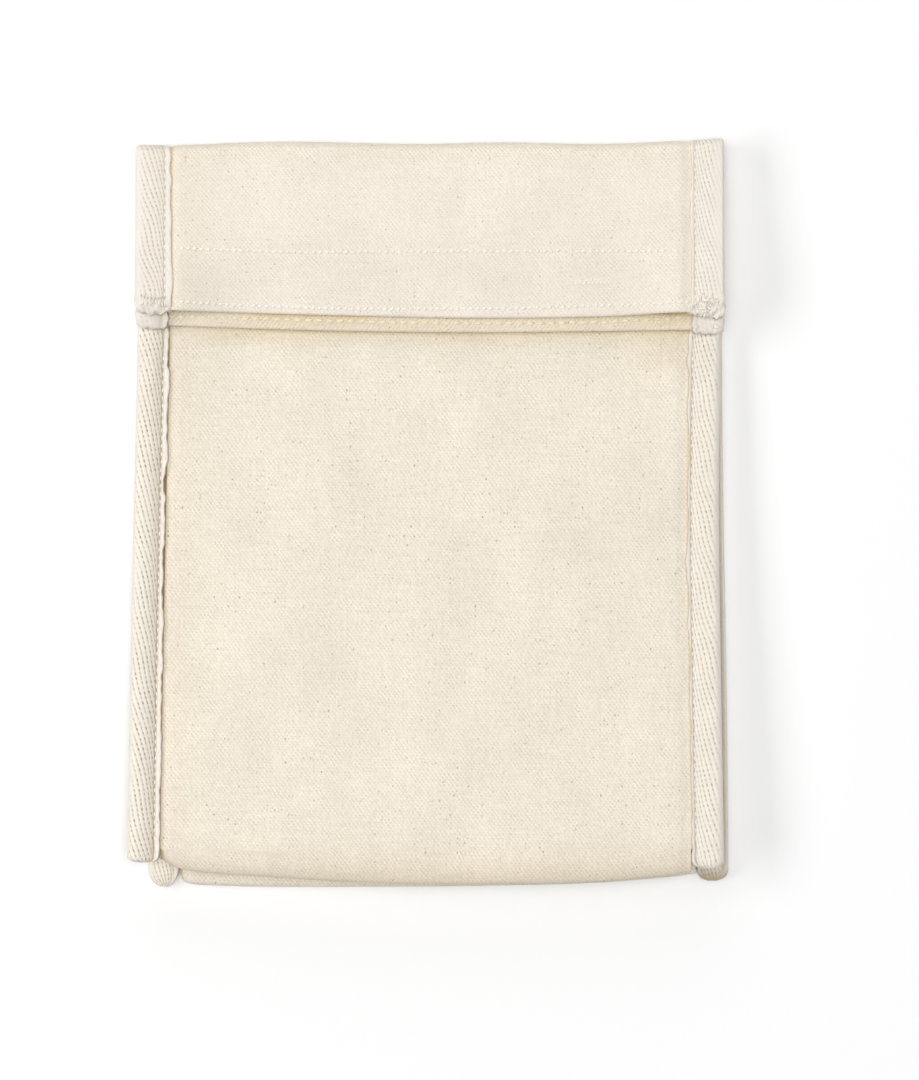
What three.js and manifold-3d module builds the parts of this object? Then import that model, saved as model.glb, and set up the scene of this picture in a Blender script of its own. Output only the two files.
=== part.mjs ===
// A cotton canvas cooler bag, lying on its back: its side gussets and its bottom are tucked in,
// and its closed mouth is folded over onto the front.
// Millimetres. X runs across the bag, Y towards the folded top, Z up from the surface that it lies on.
import * as THREE from "three";
import { mergeVertices } from "three/addons/utils/BufferGeometryUtils.js";
import Module from "manifold-3d";

const wasm = await Module();
wasm.setup();

// Cloth thicknesses.
const WALL = 2.0; // insulated canvas in the open field of a panel
const SEAM_WALL = 1.0; // the same canvas where a bound seam presses it
const TAPE_WALL = 1.0; // one leaf of the binding tape
const GAP = 0.2; // between leaves that lie on each other
const SEAM_REST = 0.3; // between the front seams and the back seams under them

// A bound seam is four leaves on each other: tape, two edges of canvas, tape.
const LEAF = SEAM_WALL + GAP;
const SEAM_STACK = 3 * LEAF + TAPE_WALL;
const TAPE_REACH = 11.2; // width of the folded tape from its outer edge
const TAPE_ROUND = 2.0; // how far its outer edge is rounded
const TAPE_EDGE = [
  { inset: 1, height: 0 },
  { inset: 0.3, height: 0.18 },
  { inset: 0, height: 0.5 },
  { inset: 0.3, height: 0.82 },
  { inset: 1, height: 1 },
]; // the rounded edge's section, in shares of its rounding and of the seam's stack
const TAPE_END_ROUND = [
  { share: 0.35, scale: 0.97 },
  { share: 0.75, scale: 0.85 },
  { share: 1, scale: 0.55 },
]; // how the section shrinks over the tape's closed ends
const EDGE_INSET = 1.3; // from the tape's outer edge to the canvas inside it
const SEAM_FADE = 6.0; // the width beside a seam where the wall swells to its full thickness
const NARROW_EDGE = 1.2; // the thin edge of the strip where it has left its seams

// Heights at which the front seams lie over the back seams, before the mouth is folded over.
const FRONT_SEAM_BASE = SEAM_STACK + SEAM_REST;
const FOLD_AXIS = FRONT_SEAM_BASE + SEAM_STACK + GAP; // the mouth folds about this height
const FOLD_SQUEEZE = 0.8; // share of its height that the stack keeps at the fold
const FOLD_ROUND = 0.75; // depth of the fold as a share of its radius
const SQUEEZE_START = 72; // Y from which the stack thins towards the fold
const FLAP_LIFT = 1.0; // how far the free end of the flap springs up

// The bag is a wedge: its front rises towards the bottom, where the tucked cloth is.
const WEDGE = { start: 60, end: -122, rise: 9.5 };

// Outer edges of the front and back seams, from the folded top to the bottom.
const EDGES = [
  { y: 131, frontLeft: -102.6, frontRight: 103.2, backLeft: -102.6, backRight: 103.2 },
  { y: 60, frontLeft: -102.3, frontRight: 102.3, backLeft: -102.2, backRight: 102.9 },
  { y: 0, frontLeft: -103.4, frontRight: 101.6, backLeft: -101.2, backRight: 103.5 },
  { y: -60, frontLeft: -104.4, frontRight: 102.2, backLeft: -100.0, backRight: 104.6 },
  { y: -131, frontLeft: -105.4, frontRight: 103.3, backLeft: -98.7, backRight: 105.3 },
];

// Outline of the folded top, from left to right.
const FOLDED_TOP = [
  { x: -103, top: 129.2 },
  { x: -88, top: 129.0 },
  { x: -63, top: 130.0 },
  { x: -45, top: 130.2 },
  { x: -3, top: 129.4 },
  { x: 25, top: 130.0 },
  { x: 60, top: 129.4 },
  { x: 91, top: 130.7 },
  { x: 103, top: 131.4 },
];

// The mouth's two lips: the back panel's ends higher on the flap than the front panel's.
const LIPS = [
  { x: -103, back: 71.2, front: 66.5 },
  { x: -88, back: 70.6, front: 65.5 },
  { x: -31, back: 69.0, front: 63.7 },
  { x: 18, back: 68.1, front: 63.2 },
  { x: 60, back: 68.6, front: 63.6 },
  { x: 91, back: 70.0, front: 64.1 },
  { x: 103, back: 68.8, front: 64.2 },
];
// The lips press together between the seams: how far each one moves, over the middle and over the gussets.
const LIPS_PRESS = { back: 3.0, front: 1.6, middleFrom: 0.4, sidesFrom: 0.8, full: 0.7, none: 0.97 };

// Outline of the two folds at the bottom.
const BOTTOM = [
  { x: -94, front: -122.4, back: -129.2 },
  { x: -86, front: -124.6, back: -130.3 },
  { x: -62, front: -126.8, back: -131.2 },
  { x: -10, front: -129.6, back: -131.3 },
  { x: 25, front: -129.6, back: -130.9 },
  { x: 60, front: -128.9, back: -129.9 },
  { x: 94, front: -125.8, back: -127.0 },
];
const FRONT_FOLD = 3.2; // radius at the middle of the wall
const BACK_FOLD = 2.0;
const TUCK = { top: -75, height: 7.8, radius: 1.75 }; // the crease of the tucked bottom
const TUCK_SIDE = 2; // how far the tucked bottom stays clear of the gussets' creases
const TUCK_RUN = [1 / 3, 2 / 3]; // sections of each flat run, in shares of its length

// By place along the bag, the front panel's crown over its seams, the depth of the hollow between the
// gussets' creases, and where the hollow's left and right slopes are.
const CROWN = [
  { y: 131, rise: 0.1, hollow: 0.0, left: -38, right: 40 },
  { y: 62, rise: 0.15, hollow: 0.0, left: -40, right: 40 },
  { y: 38, rise: 1.5, hollow: 0.5, left: -37, right: 38 },
  { y: 0, rise: 2.4, hollow: 1.0, left: -22, right: 34 },
  { y: -32, rise: 2.6, hollow: 1.1, left: -33, right: 30 },
  { y: -80, rise: 2.4, hollow: 0.9, left: -40, right: 28 },
  { y: -110, rise: 2.0, hollow: 0.3, left: -30, right: 20 },
  { y: -131, rise: 1.7, hollow: 0.2, left: -30, right: 20 },
];
const CROWN_SHARPNESS = 6; // how late the crown falls away to the seams
const HOLLOW_FADE = 18; // width of each slope

// Dents in the front panel: round hollows, fading out at their spans.
const DENTS = [
  { x: 80, y: 38, spanX: 30, spanY: 44, depth: 0.9 },
  { x: -72, y: -50, spanX: 18, spanY: 40, depth: 0.6 },
  { x: -50, y: -96, spanX: 20, spanY: 26, depth: 0.6 },
  { x: 68, y: -52, spanX: 20, spanY: 44, depth: 0.6 },
];

// Each gusset is tucked in to its crease, and its lower end is cut on a slant beside the tucked bottom.
const GUSSETS = [
  { side: "left", crease: -35, inward: 1 },
  { side: "right", crease: 46, inward: -1 },
];
const GUSSET_FOOT = -66; // Y of the slant's upper end, at the crease
const GUSSET_SPREAD = 30; // Y below which the sections spread to follow the slant
// Radius of the crease at the middle of its wall, at the top and at the bottom of the bag, and its height
// at the bottom.
const GUSSET_CREASE = { flat: 1.25, wide: 2.6, height: 8.3 };
const CREASE_TURNS = [0.5, 0.25, 0, -0.25, -0.5]; // places round it, in half turns from its middle

// Ends of the bound seams at the bottom: the canvas stops inside the tape.
const SEAM_END = { front: -117, back: -121.5 };
const SLOT_PAST = 2.0; // the tape's slot runs this far past the canvas at the bottom
const SLOT_PAST_LIP = 0.3;
const TAPE_END = {
  front: { left: -122.0, right: -124.2 },
  back: { left: -131.3, right: -129.2 },
};
const TAPE_PAST_LIP = 1.6;

// Places along the bag where its sections are taken.
const BODY_STATIONS = [112, 96, 80, 66, 52, 30, 0, -35, -70, -100];
const FLAP_SHARES = [0.2, 0.4, 0.6, 0.8, 1];
const GUSSET_SHARE = 0.8; // the gussets stop short of the lips
const BEND_STEPS = 6;
const FOLD_STEPS = 6;

// Columns of the main strip: place across the field from -1 to 1.
const FIELD_COLUMNS = [-0.93, -0.8, -0.6, -0.42, -0.3, -0.1, 0.1, 0.3, 0.45, 0.6, 0.8, 0.93];

const MERGE_WITHIN = 1e-4; // points nearer than this are one

const clamp = THREE.MathUtils.clamp;
const lerp = THREE.MathUtils.lerp;
const smooth = THREE.MathUtils.smoothstep;

// A smooth curve through one column of a table: cubic pieces whose slope at a row is that of its neighbours.
function curveOf(table, by, column) {
  const rows = [...table].sort((a, b) => a[by] - b[by]);
  const last = rows.length - 1;
  const slopes = rows.map((row, i) => {
    const before = rows[Math.max(i - 1, 0)];
    const after = rows[Math.min(i + 1, last)];
    return (after[column] - before[column]) / (after[by] - before[by]);
  });
  return (at) => {
    const place = clamp(at, rows[0][by], rows[last][by]);
    const i = clamp(rows.findLastIndex((row) => row[by] <= place), 0, last - 1);
    const span = rows[i + 1][by] - rows[i][by];
    const t = (place - rows[i][by]) / span;
    const ease = t * t * (3 - 2 * t);
    const leave = t * (1 - t) * (1 - t) * span * slopes[i];
    const arrive = t * t * (t - 1) * span * slopes[i + 1];
    return lerp(rows[i][column], rows[i + 1][column], ease) + leave + arrive;
  };
}

const foldedTop = curveOf(FOLDED_TOP, "x", "top");
const lipLine = { back: curveOf(LIPS, "x", "back"), front: curveOf(LIPS, "x", "front") };
const bottomLine = { back: curveOf(BOTTOM, "x", "back"), front: curveOf(BOTTOM, "x", "front") };
const crown = {
  rise: curveOf(CROWN, "y", "rise"),
  hollow: curveOf(CROWN, "y", "hollow"),
  left: curveOf(CROWN, "y", "left"),
  right: curveOf(CROWN, "y", "right"),
};
const edgeLine = {
  front: { left: curveOf(EDGES, "y", "frontLeft"), right: curveOf(EDGES, "y", "frontRight") },
  back: { left: curveOf(EDGES, "y", "backLeft"), right: curveOf(EDGES, "y", "backRight") },
};

// Y at which the fold of the mouth starts, so that its outermost layer reaches the folded top's outline.
function foldStart(x) {
  return foldedTop(x) - FOLD_ROUND * FOLD_SQUEEZE * FOLD_AXIS;
}

// Share of their height that the layers keep at a place.
function squeeze(x, y) {
  return 1 - (1 - FOLD_SQUEEZE) * smooth(y, SQUEEZE_START, foldStart(x));
}

// Stations along the unfolded bag: on its body, round the fold of the mouth, or on the flap.
const onBody = (y) => ({ on: "body", y });
const onBend = (turn) => ({ on: "bend", turn });
const onFlap = (share) => ({ on: "flap", share });
const BEND = Array.from({ length: BEND_STEPS + 1 }, (_, i) => onBend((Math.PI * i) / BEND_STEPS));
const FLAP = FLAP_SHARES.map(onFlap);

// Y on the unfolded bag that the shapes of the layers depend on.
function placeOf(station, x, layer) {
  if (station.on === "body") return station.y;
  if (station.on === "bend") return foldStart(x);
  return lerp(foldStart(x), lipLine[layer](x), station.share);
}

// A point at height h over the unfolded bag's underside, moved to where the folded mouth takes it.
function folded(station, x, h, layer) {
  const y = placeOf(station, x, layer);
  if (station.on === "body") return new THREE.Vector3(x, y, squeeze(x, y) * h);
  if (station.on === "bend") {
    const radius = FOLD_SQUEEZE * (FOLD_AXIS - h);
    const out = FOLD_ROUND * radius * Math.sin(station.turn);
    return new THREE.Vector3(x, y + out, FOLD_SQUEEZE * FOLD_AXIS - radius * Math.cos(station.turn));
  }
  const lift = FLAP_LIFT * station.share;
  return new THREE.Vector3(x, y, squeeze(x, y) * (2 * FOLD_AXIS - h) + lift);
}

// Outer edge of a bound seam: the flap is as wide as the fold.
function seamEdge(layer, side, station) {
  return edgeLine[layer][side](station.on === "body" ? station.y : EDGES[0].y);
}

// Height of a bound seam's underside over the unfolded bag's underside.
function seamBase(layer, station) {
  if (layer === "back") return 0;
  if (station.on !== "body") return FRONT_SEAM_BASE;
  const along = clamp((WEDGE.start - station.y) / (WEDGE.start - WEDGE.end), 0, 1);
  return FRONT_SEAM_BASE + WEDGE.rise * along;
}

// How nearly the lips are pressed together: 1 at their ends between the seams, 0 away from them. Over the
// gussets, which lie between the lips, they close only past the gussets' ends.
function lipsPressed(x, u, station) {
  if (station.on !== "flap") return 0;
  const overLeft = 1 - smooth(x, GUSSETS[0].crease, GUSSETS[0].crease + HOLLOW_FADE);
  const overRight = smooth(x, GUSSETS[1].crease - HOLLOW_FADE, GUSSETS[1].crease);
  const from = lerp(LIPS_PRESS.middleFrom, LIPS_PRESS.sidesFrom, Math.max(overLeft, overRight));
  const across = 1 - smooth(Math.abs(u), LIPS_PRESS.full, LIPS_PRESS.none);
  return across * smooth(station.share, from, 1);
}

// Depth of the front panel's dents at a place.
function dented(x, y) {
  return DENTS.reduce((sum, dent) => {
    const away = Math.hypot((x - dent.x) / dent.spanX, (y - dent.y) / dent.spanY);
    return sum + dent.depth * (1 - smooth(away, 0, 1));
  }, 0);
}

// Share of its full crown that a panel has at u: 1 over most of its field, 0 at its seams.
function crowned(u) {
  return 1 - Math.abs(u) ** CROWN_SHARPNESS;
}

// How far the front panel's field rises over its seams.
function frontRise(x, y, u) {
  const half = HOLLOW_FADE / 2;
  const fromLeft = smooth(x, crown.left(y) - half, crown.left(y) + half);
  const fromRight = smooth(x, crown.right(y) - half, crown.right(y) + half);
  const over = (crown.rise(y) - dented(x, y)) * crowned(u);
  return Math.max(over - crown.hollow(y) * (fromLeft - fromRight), 0);
}

// The front panel's lower and upper surface at x, where u is the place across its field.
function frontSurfaces(x, u, wall, station) {
  const onFlapRise = (CROWN[0].rise - LIPS_PRESS.front * lipsPressed(x, u, station)) * crowned(u);
  const rise = station.on === "body" ? frontRise(x, station.y, u) : onFlapRise;
  const low = seamBase("front", station) + 2 * LEAF + rise;
  return { low, high: low + wall };
}

// The back panel's lower and upper surface: flat on the floor between its seams.
function backSurfaces(x, u, wall, station) {
  const raised = (WALL - wall) / (WALL - SEAM_WALL);
  const low = LEAF * raised + LIPS_PRESS.back * lipsPressed(x, u, station);
  return { low, high: low + wall };
}

// A closed solid between two grids of points, which are its outer and inner face.
function wallBetween(outer, inner) {
  const rows = outer.length;
  const columns = outer[0].length;
  const points = [...outer.flat(), ...inner.flat()];
  const faces = [];
  const quad = (a, b, c, d) => faces.push([a, b, c], [a, c, d]);
  const out = (r, c) => r * columns + c;
  const into = (r, c) => rows * columns + out(r, c);
  for (let r = 0; r + 1 < rows; r++) {
    for (let c = 0; c + 1 < columns; c++) {
      quad(out(r, c), out(r + 1, c), out(r + 1, c + 1), out(r, c + 1));
      quad(into(r, c), into(r, c + 1), into(r + 1, c + 1), into(r + 1, c));
    }
    quad(out(r, 0), into(r, 0), into(r + 1, 0), out(r + 1, 0));
    quad(out(r, columns - 1), out(r + 1, columns - 1), into(r + 1, columns - 1), into(r, columns - 1));
  }
  for (let c = 0; c + 1 < columns; c++) {
    quad(out(0, c), out(0, c + 1), into(0, c + 1), into(0, c));
    quad(out(rows - 1, c), into(rows - 1, c), into(rows - 1, c + 1), out(rows - 1, c + 1));
  }
  return closedGeometry(points, faces);
}

// A closed solid swept through rings of points, with flat ends.
function sweptThrough(rings) {
  const sides = rings[0].length;
  const faces = [];
  for (let r = 0; r + 1 < rings.length; r++) {
    for (let s = 0; s < sides; s++) {
      const next = (s + 1) % sides;
      const a = r * sides + s;
      const b = r * sides + next;
      faces.push([a, b, b + sides], [a, b + sides, a + sides]);
    }
  }
  const start = (rings.length - 1) * sides;
  for (let s = 1; s + 1 < sides; s++) {
    faces.push([0, s + 1, s], [start, start + s, start + s + 1]);
  }
  return closedGeometry(rings.flat(), faces);
}

// An indexed geometry whose faces point out: they are turned round where the enclosed volume is negative.
function closedGeometry(points, faces) {
  const cross = new THREE.Vector3();
  const sixfold = faces.reduce((sum, [a, b, c]) => {
    return sum + points[a].dot(cross.crossVectors(points[b], points[c]));
  }, 0);
  const facing = sixfold > 0 ? faces : faces.map(([a, b, c]) => [a, c, b]);
  const geometry = new THREE.BufferGeometry().setFromPoints(points);
  geometry.setIndex(facing.flat());
  return geometry;
}

// A geometry as a solid that can be cut.
function solidOf(geometry) {
  const merged = mergeVertices(geometry, MERGE_WITHIN);
  return new wasm.Manifold(
    new wasm.Mesh({
      numProp: 3,
      vertProperties: new Float32Array(merged.attributes.position.array),
      triVerts: new Uint32Array(merged.index.array),
    }),
  );
}

// A cut solid as a geometry.
function geometryOf(solid) {
  const mesh = solid.getMesh();
  const geometry = new THREE.BufferGeometry();
  geometry.setAttribute("position", new THREE.BufferAttribute(new Float32Array(mesh.vertProperties), 3));
  geometry.setIndex(new THREE.BufferAttribute(new Uint32Array(mesh.triVerts), 1));
  return geometry;
}

// Columns of a row of the strip that runs into its seams: the two outer columns each side lie in the tape.
function seamedColumns(layer, station) {
  const left = seamEdge(layer, "left", station);
  const right = seamEdge(layer, "right", station);
  return columnsBetween(left + EDGE_INSET, right - EDGE_INSET, TAPE_REACH - EDGE_INSET);
}

// Columns of a row between two edges, with a seam's width inside each: x, place across the field, and wall.
function columnsBetween(left, right, seam) {
  const middle = (left + right) / 2;
  const half = (right - left) / 2 - seam;
  const field = FIELD_COLUMNS.map((u) => {
    const wall = lerp(SEAM_WALL, WALL, clamp(((1 - Math.abs(u)) * half) / SEAM_FADE, 0, 1));
    return { x: middle + half * u, u, wall };
  });
  const edge = (x, u) => ({ x, u, wall: SEAM_WALL });
  return [
    edge(left, -1),
    edge(middle - half, -1),
    ...field,
    edge(middle + half, 1),
    edge(right, 1),
  ];
}

// A row of the strip on the front or back layer, with the bag's outside first.
function layerRow(layer, station, columns) {
  const outer = [];
  const inner = [];
  for (const { x, u, wall } of columns) {
    const isFront = layer === "front";
    const { low, high } = isFront ? frontSurfaces(x, u, wall, station) : backSurfaces(x, u, wall, station);
    outer.push(folded(station, x, isFront ? high : low, layer));
    inner.push(folded(station, x, isFront ? low : high, layer));
  }
  return { outer, inner };
}

// A row of the strip where the bottom is tucked in: its section gives the middle of the wall and the way
// to its outside.
function bottomRow(columns, section) {
  const outer = [];
  const inner = [];
  for (const { x, wall } of columns) {
    const { y, z, outY, outZ } = section(x);
    const half = wall / 2;
    outer.push(new THREE.Vector3(x, y + outY * half, z + outZ * half));
    inner.push(new THREE.Vector3(x, y - outY * half, z - outZ * half));
  }
  return { outer, inner };
}

// Sections of the two bottom folds: half turns about an axis along X, from the upper to the lower run.
function foldSection(layer, turn) {
  const radius = layer === "front" ? FRONT_FOLD : BACK_FOLD;
  return (x) => {
    const axisY = bottomLine[layer](x) + radius + WALL / 2;
    const axisZ = layer === "front" ? frontMiddle(x, axisY) - radius : WALL / 2 + radius;
    const outY = -Math.sin(turn);
    const outZ = Math.cos(turn);
    return { y: axisY + radius * outY, z: axisZ + radius * outZ, outY, outZ };
  };
}

// Height of the middle of the front panel's wall.
function frontMiddle(x, y) {
  const station = onBody(y);
  const middle = (edgeLine.front.left(y) + edgeLine.front.right(y)) / 2;
  const u = clamp((x - middle) / (edgeLine.front.right(y) - middle - TAPE_REACH), -1, 1);
  const { low, high } = frontSurfaces(x, u, WALL, station);
  return (low + high) / 2;
}

// Section of the tucked bottom's crease: a half turn whose outside is its hollow side.
function tuckSection(turn) {
  const outY = -Math.sin(turn);
  const outZ = -Math.cos(turn);
  return () => ({
    y: TUCK.top - TUCK.radius - TUCK.radius * outY,
    z: TUCK.height - TUCK.radius * outZ,
    outY,
    outZ,
  });
}

// Section between two others, for the flat runs of the tucked bottom. The run's own slope turns its outside.
function runSection(from, to, share) {
  return (x) => {
    const a = from(x);
    const b = to(x);
    const run = Math.hypot(b.y - a.y, b.z - a.z);
    return {
      y: lerp(a.y, b.y, share),
      z: lerp(a.z, b.z, share),
      outY: (b.z - a.z) / run,
      outZ: -(b.y - a.y) / run,
    };
  };
}

// The main strip: front, bottom and back in one length of canvas, from the front lip to the back lip.
function canvasBody() {
  const turns = Array.from({ length: FOLD_STEPS + 1 }, (_, i) => (Math.PI * i) / FOLD_STEPS);
  const narrow = (layer) => {
    const y = SEAM_END[layer];
    const clear = TAPE_REACH + 2 * GAP;
    return [edgeLine[layer].left(y) + clear, edgeLine[layer].right(y) - clear];
  };
  const tucked = GUSSETS.map(({ crease, inward }) => crease + TUCK_SIDE * inward);
  const narrowColumns = ([left, right]) => columnsBetween(left, right, NARROW_EDGE);
  const between = (layer, share) => {
    const [left, right] = narrow(layer);
    return narrowColumns([lerp(left, tucked[0], share), lerp(right, tucked[1], share)]);
  };
  const seamed = (layer) => (station) => layerRow(layer, station, seamedColumns(layer, station));
  const beside = (layer) => {
    const station = onBody(SEAM_END[layer] - SLOT_PAST + 2 * GAP);
    return layerRow(layer, station, narrowColumns(narrow(layer)));
  };
  const frontBody = [...BODY_STATIONS, SEAM_END.front].map(onBody);
  const backBody = [...BODY_STATIONS, SEAM_END.back].map(onBody);
  const frontEnd = foldSection("front", Math.PI);
  const tuckEnd = tuckSection(Math.PI);
  const backStart = foldSection("back", 0);
  const rows = [
    ...[...FLAP].reverse().map(seamed("front")),
    ...[...BEND].reverse().map(seamed("front")),
    ...frontBody.map(seamed("front")),
    beside("front"),
    ...turns.map((turn) => bottomRow(between("front", 0), foldSection("front", turn))),
    ...TUCK_RUN.map((s) => bottomRow(between("front", s), runSection(frontEnd, tuckSection(0), s))),
    ...turns.map((turn) => bottomRow(between("front", 1), tuckSection(turn))),
    ...TUCK_RUN.map((s) => bottomRow(between("back", 1 - s), runSection(tuckEnd, backStart, s))),
    ...turns.map((turn) => bottomRow(between("back", 0), foldSection("back", turn))),
    beside("back"),
    ...backBody.reverse().map(seamed("back")),
    ...BEND.map(seamed("back")),
    ...FLAP.map(seamed("back")),
  ];
  return wallBetween(rows.map((row) => row.outer), rows.map((row) => row.inner));
}

// The path of a gusset across one station, from its front edge to its crease and out to its back edge:
// the middle of the wall, its thickness, and how far along the path from front (0) to back (1) it is.
function gussetPath({ side, crease, inward }, station) {
  const frontEdge = seamEdge("front", side, station) + inward * EDGE_INSET;
  const backEdge = seamEdge("back", side, station) + inward * EDGE_INSET;
  const seam = inward * (TAPE_REACH - EDGE_INSET);
  const frontSeam = seamBase("front", station) + LEAF + SEAM_WALL / 2;
  const backSeam = 2 * LEAF + SEAM_WALL / 2;
  const frontField = seamBase("front", station) + LEAF + SEAM_WALL - WALL / 2 - GAP / 2;
  const backField = 2 * LEAF + WALL / 2 + GAP / 2;
  const open = (seamBase("front", station) - FRONT_SEAM_BASE) / WEDGE.rise;
  const radius = lerp(GUSSET_CREASE.flat, GUSSET_CREASE.wide, open);
  const middle = lerp((frontField + backField) / 2, GUSSET_CREASE.height, open);
  const turn = crease - inward * radius;
  const halfway = (edge) => (edge + seam + turn) / 2;
  const fade = inward * SEAM_FADE;
  const arc = CREASE_TURNS.map((a) => ({
    x: turn + inward * radius * Math.cos(Math.PI * a),
    h: middle + radius * Math.sin(Math.PI * a),
    wall: WALL,
    back: 0.5 - a,
  }));
  return [
    { x: frontEdge, h: frontSeam, wall: SEAM_WALL, back: 0 },
    { x: frontEdge + seam, h: frontSeam, wall: SEAM_WALL, back: 0 },
    { x: frontEdge + seam + fade, h: frontField, wall: WALL, back: 0 },
    { x: halfway(frontEdge), h: lerp(frontField, middle + radius, 0.5), wall: WALL, back: 0 },
    ...arc,
    { x: halfway(backEdge), h: lerp(backField, middle - radius, 0.5), wall: WALL, back: 1 },
    { x: backEdge + seam + fade, h: backField, wall: WALL, back: 1 },
    { x: backEdge + seam, h: backSeam, wall: SEAM_WALL, back: 1 },
    { x: backEdge, h: backSeam, wall: SEAM_WALL, back: 1 },
  ];
}

// Y of the gusset's cut lower end at x: a slant from the seam's end up to the crease.
function gussetFoot({ side, crease, inward }, x, back) {
  const end = lerp(SEAM_END.front, SEAM_END.back, back);
  const layer = back > 0.5 ? "back" : "front";
  const seam = edgeLine[layer][side](end) + inward * TAPE_REACH;
  return lerp(end, GUSSET_FOOT, clamp((x - seam) / (crease - seam), 0, 1));
}

// One gusset: a sheet creased along its middle, which runs from its slanting foot over the fold to the lips.
function gusset(shape) {
  const bodies = [...BODY_STATIONS, SEAM_END.front];
  const flap = FLAP.filter(({ share }) => share <= GUSSET_SHARE);
  const stations = [...flap.reverse(), ...[...BEND].reverse(), ...bodies.map(onBody)];
  const outer = [];
  const inner = [];
  for (const station of stations) {
    const path = gussetPath(shape, station);
    const last = path.length - 1;
    outer.push([]);
    inner.push([]);
    path.forEach((point, i) => {
      const before = path[Math.max(i - 1, 0)];
      const after = path[Math.min(i + 1, last)];
      const run = Math.hypot(after.x - before.x, after.h - before.h);
      const acrossX = -(after.h - before.h) / run;
      const acrossH = (after.x - before.x) / run;
      const layer = point.back > 0.5 ? "back" : "front";
      const place = gussetStation(shape, station, point);
      const at = (sign) => {
        const x = point.x + (sign * acrossX * point.wall) / 2;
        const h = point.h + (sign * acrossH * point.wall) / 2;
        return folded(place, x, h, layer);
      };
      outer.at(-1).push(at(1));
      inner.at(-1).push(at(-1));
    });
  }
  return wallBetween(outer, inner);
}

// A body station moved up in proportion, so that the last one follows the slanting foot.
function gussetStation(shape, station, { x, back }) {
  if (station.on !== "body" || station.y >= GUSSET_SPREAD) return station;
  const foot = gussetFoot(shape, x, back);
  const inSeam = foot === SEAM_END.front || (foot === SEAM_END.back && station.y > SEAM_END.front);
  if (inSeam) return station;
  const share = (station.y - GUSSET_SPREAD) / (SEAM_END.front - GUSSET_SPREAD);
  return onBody(lerp(GUSSET_SPREAD, foot, share));
}

// One binding tape, folded over the two edges of canvas in a seam: a rounded strip with a slot cut into it.
function bindingTape(layer, side) {
  const inward = side === "left" ? 1 : -1;
  const mid = SEAM_STACK / 2;
  const edge = TAPE_EDGE.map(({ inset, height }) => [TAPE_ROUND * inset, SEAM_STACK * height]);
  const outline = [[TAPE_REACH, 0], ...edge, [TAPE_REACH, SEAM_STACK]];
  const open = TAPE_REACH + TAPE_WALL;
  const slot = [
    [open, TAPE_WALL],
    [TAPE_WALL, TAPE_WALL],
    [TAPE_WALL, SEAM_STACK - TAPE_WALL],
    [open, SEAM_STACK - TAPE_WALL],
  ];
  const ring = (shape, station, scale = 1) =>
    shape.map(([d, h]) => {
      const inset = TAPE_REACH / 2 + (d - TAPE_REACH / 2) * scale;
      const height = seamBase(layer, station) + mid + (h - mid) * scale;
      return folded(station, seamEdge(layer, side, station) + inward * inset, height, layer);
    });
  const bodies = [...BODY_STATIONS, SEAM_END[layer]].map(onBody);
  const through = [...[...FLAP].reverse(), ...[...BEND].reverse(), ...bodies];
  const corner = edgeLine[layer][side](EDGES[0].y);
  const flapLength = foldStart(corner) - lipLine[layer](corner);
  const pastLip = (distance) => onFlap(1 + distance / flapLength);
  const end = TAPE_END[layer][side];
  const slotEnd = SEAM_END[layer] - SLOT_PAST;
  const closing = (stationAt) =>
    TAPE_END_ROUND.map(({ share, scale }) => ring(outline, stationAt(share), scale));
  const outerRings = [
    ...closing((share) => pastLip(TAPE_PAST_LIP * share)).reverse(),
    ...through.map((station) => ring(outline, station)),
    ring(outline, onBody(slotEnd)),
    ...closing((share) => onBody(lerp(slotEnd, end, share))),
  ];
  const slotRings = [
    ring(slot, pastLip(SLOT_PAST_LIP)),
    ...through.map((station) => ring(slot, station)),
    ring(slot, onBody(slotEnd)),
  ];
  return geometryOf(solidOf(sweptThrough(outerRings)).subtract(solidOf(sweptThrough(slotRings))));
}

const CANVAS = { color: 0xe9dfcd, roughness: 0.92, metalness: 0 }; // natural cotton
const TAPE = { color: 0xe6dfd2, roughness: 0.88, metalness: 0 }; // off-white cotton tape

function piece(name, geometry, finish) {
  geometry.computeVertexNormals();
  const mesh = new THREE.Mesh(geometry, new THREE.MeshStandardMaterial(finish));
  mesh.name = name;
  return mesh;
}

const bag = new THREE.Group();
bag.add(piece("canvas_body", canvasBody(), CANVAS));
for (const shape of GUSSETS) {
  bag.add(piece(`gusset_${shape.side}`, gusset(shape), CANVAS));
}
for (const layer of ["front", "back"]) {
  for (const side of ["left", "right"]) {
    bag.add(piece(`${layer}_binding_${side}`, bindingTape(layer, side), TAPE));
  }
}

export default bag;
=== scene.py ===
"""Dresses a folded cotton canvas cooler bag: canvas, gussets, tapes, stitching and a plain studio."""
import logging
import math
from dataclasses import dataclass
from enum import Enum
from functools import partial
from typing import Any, ClassVar, NamedTuple, Sequence

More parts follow.
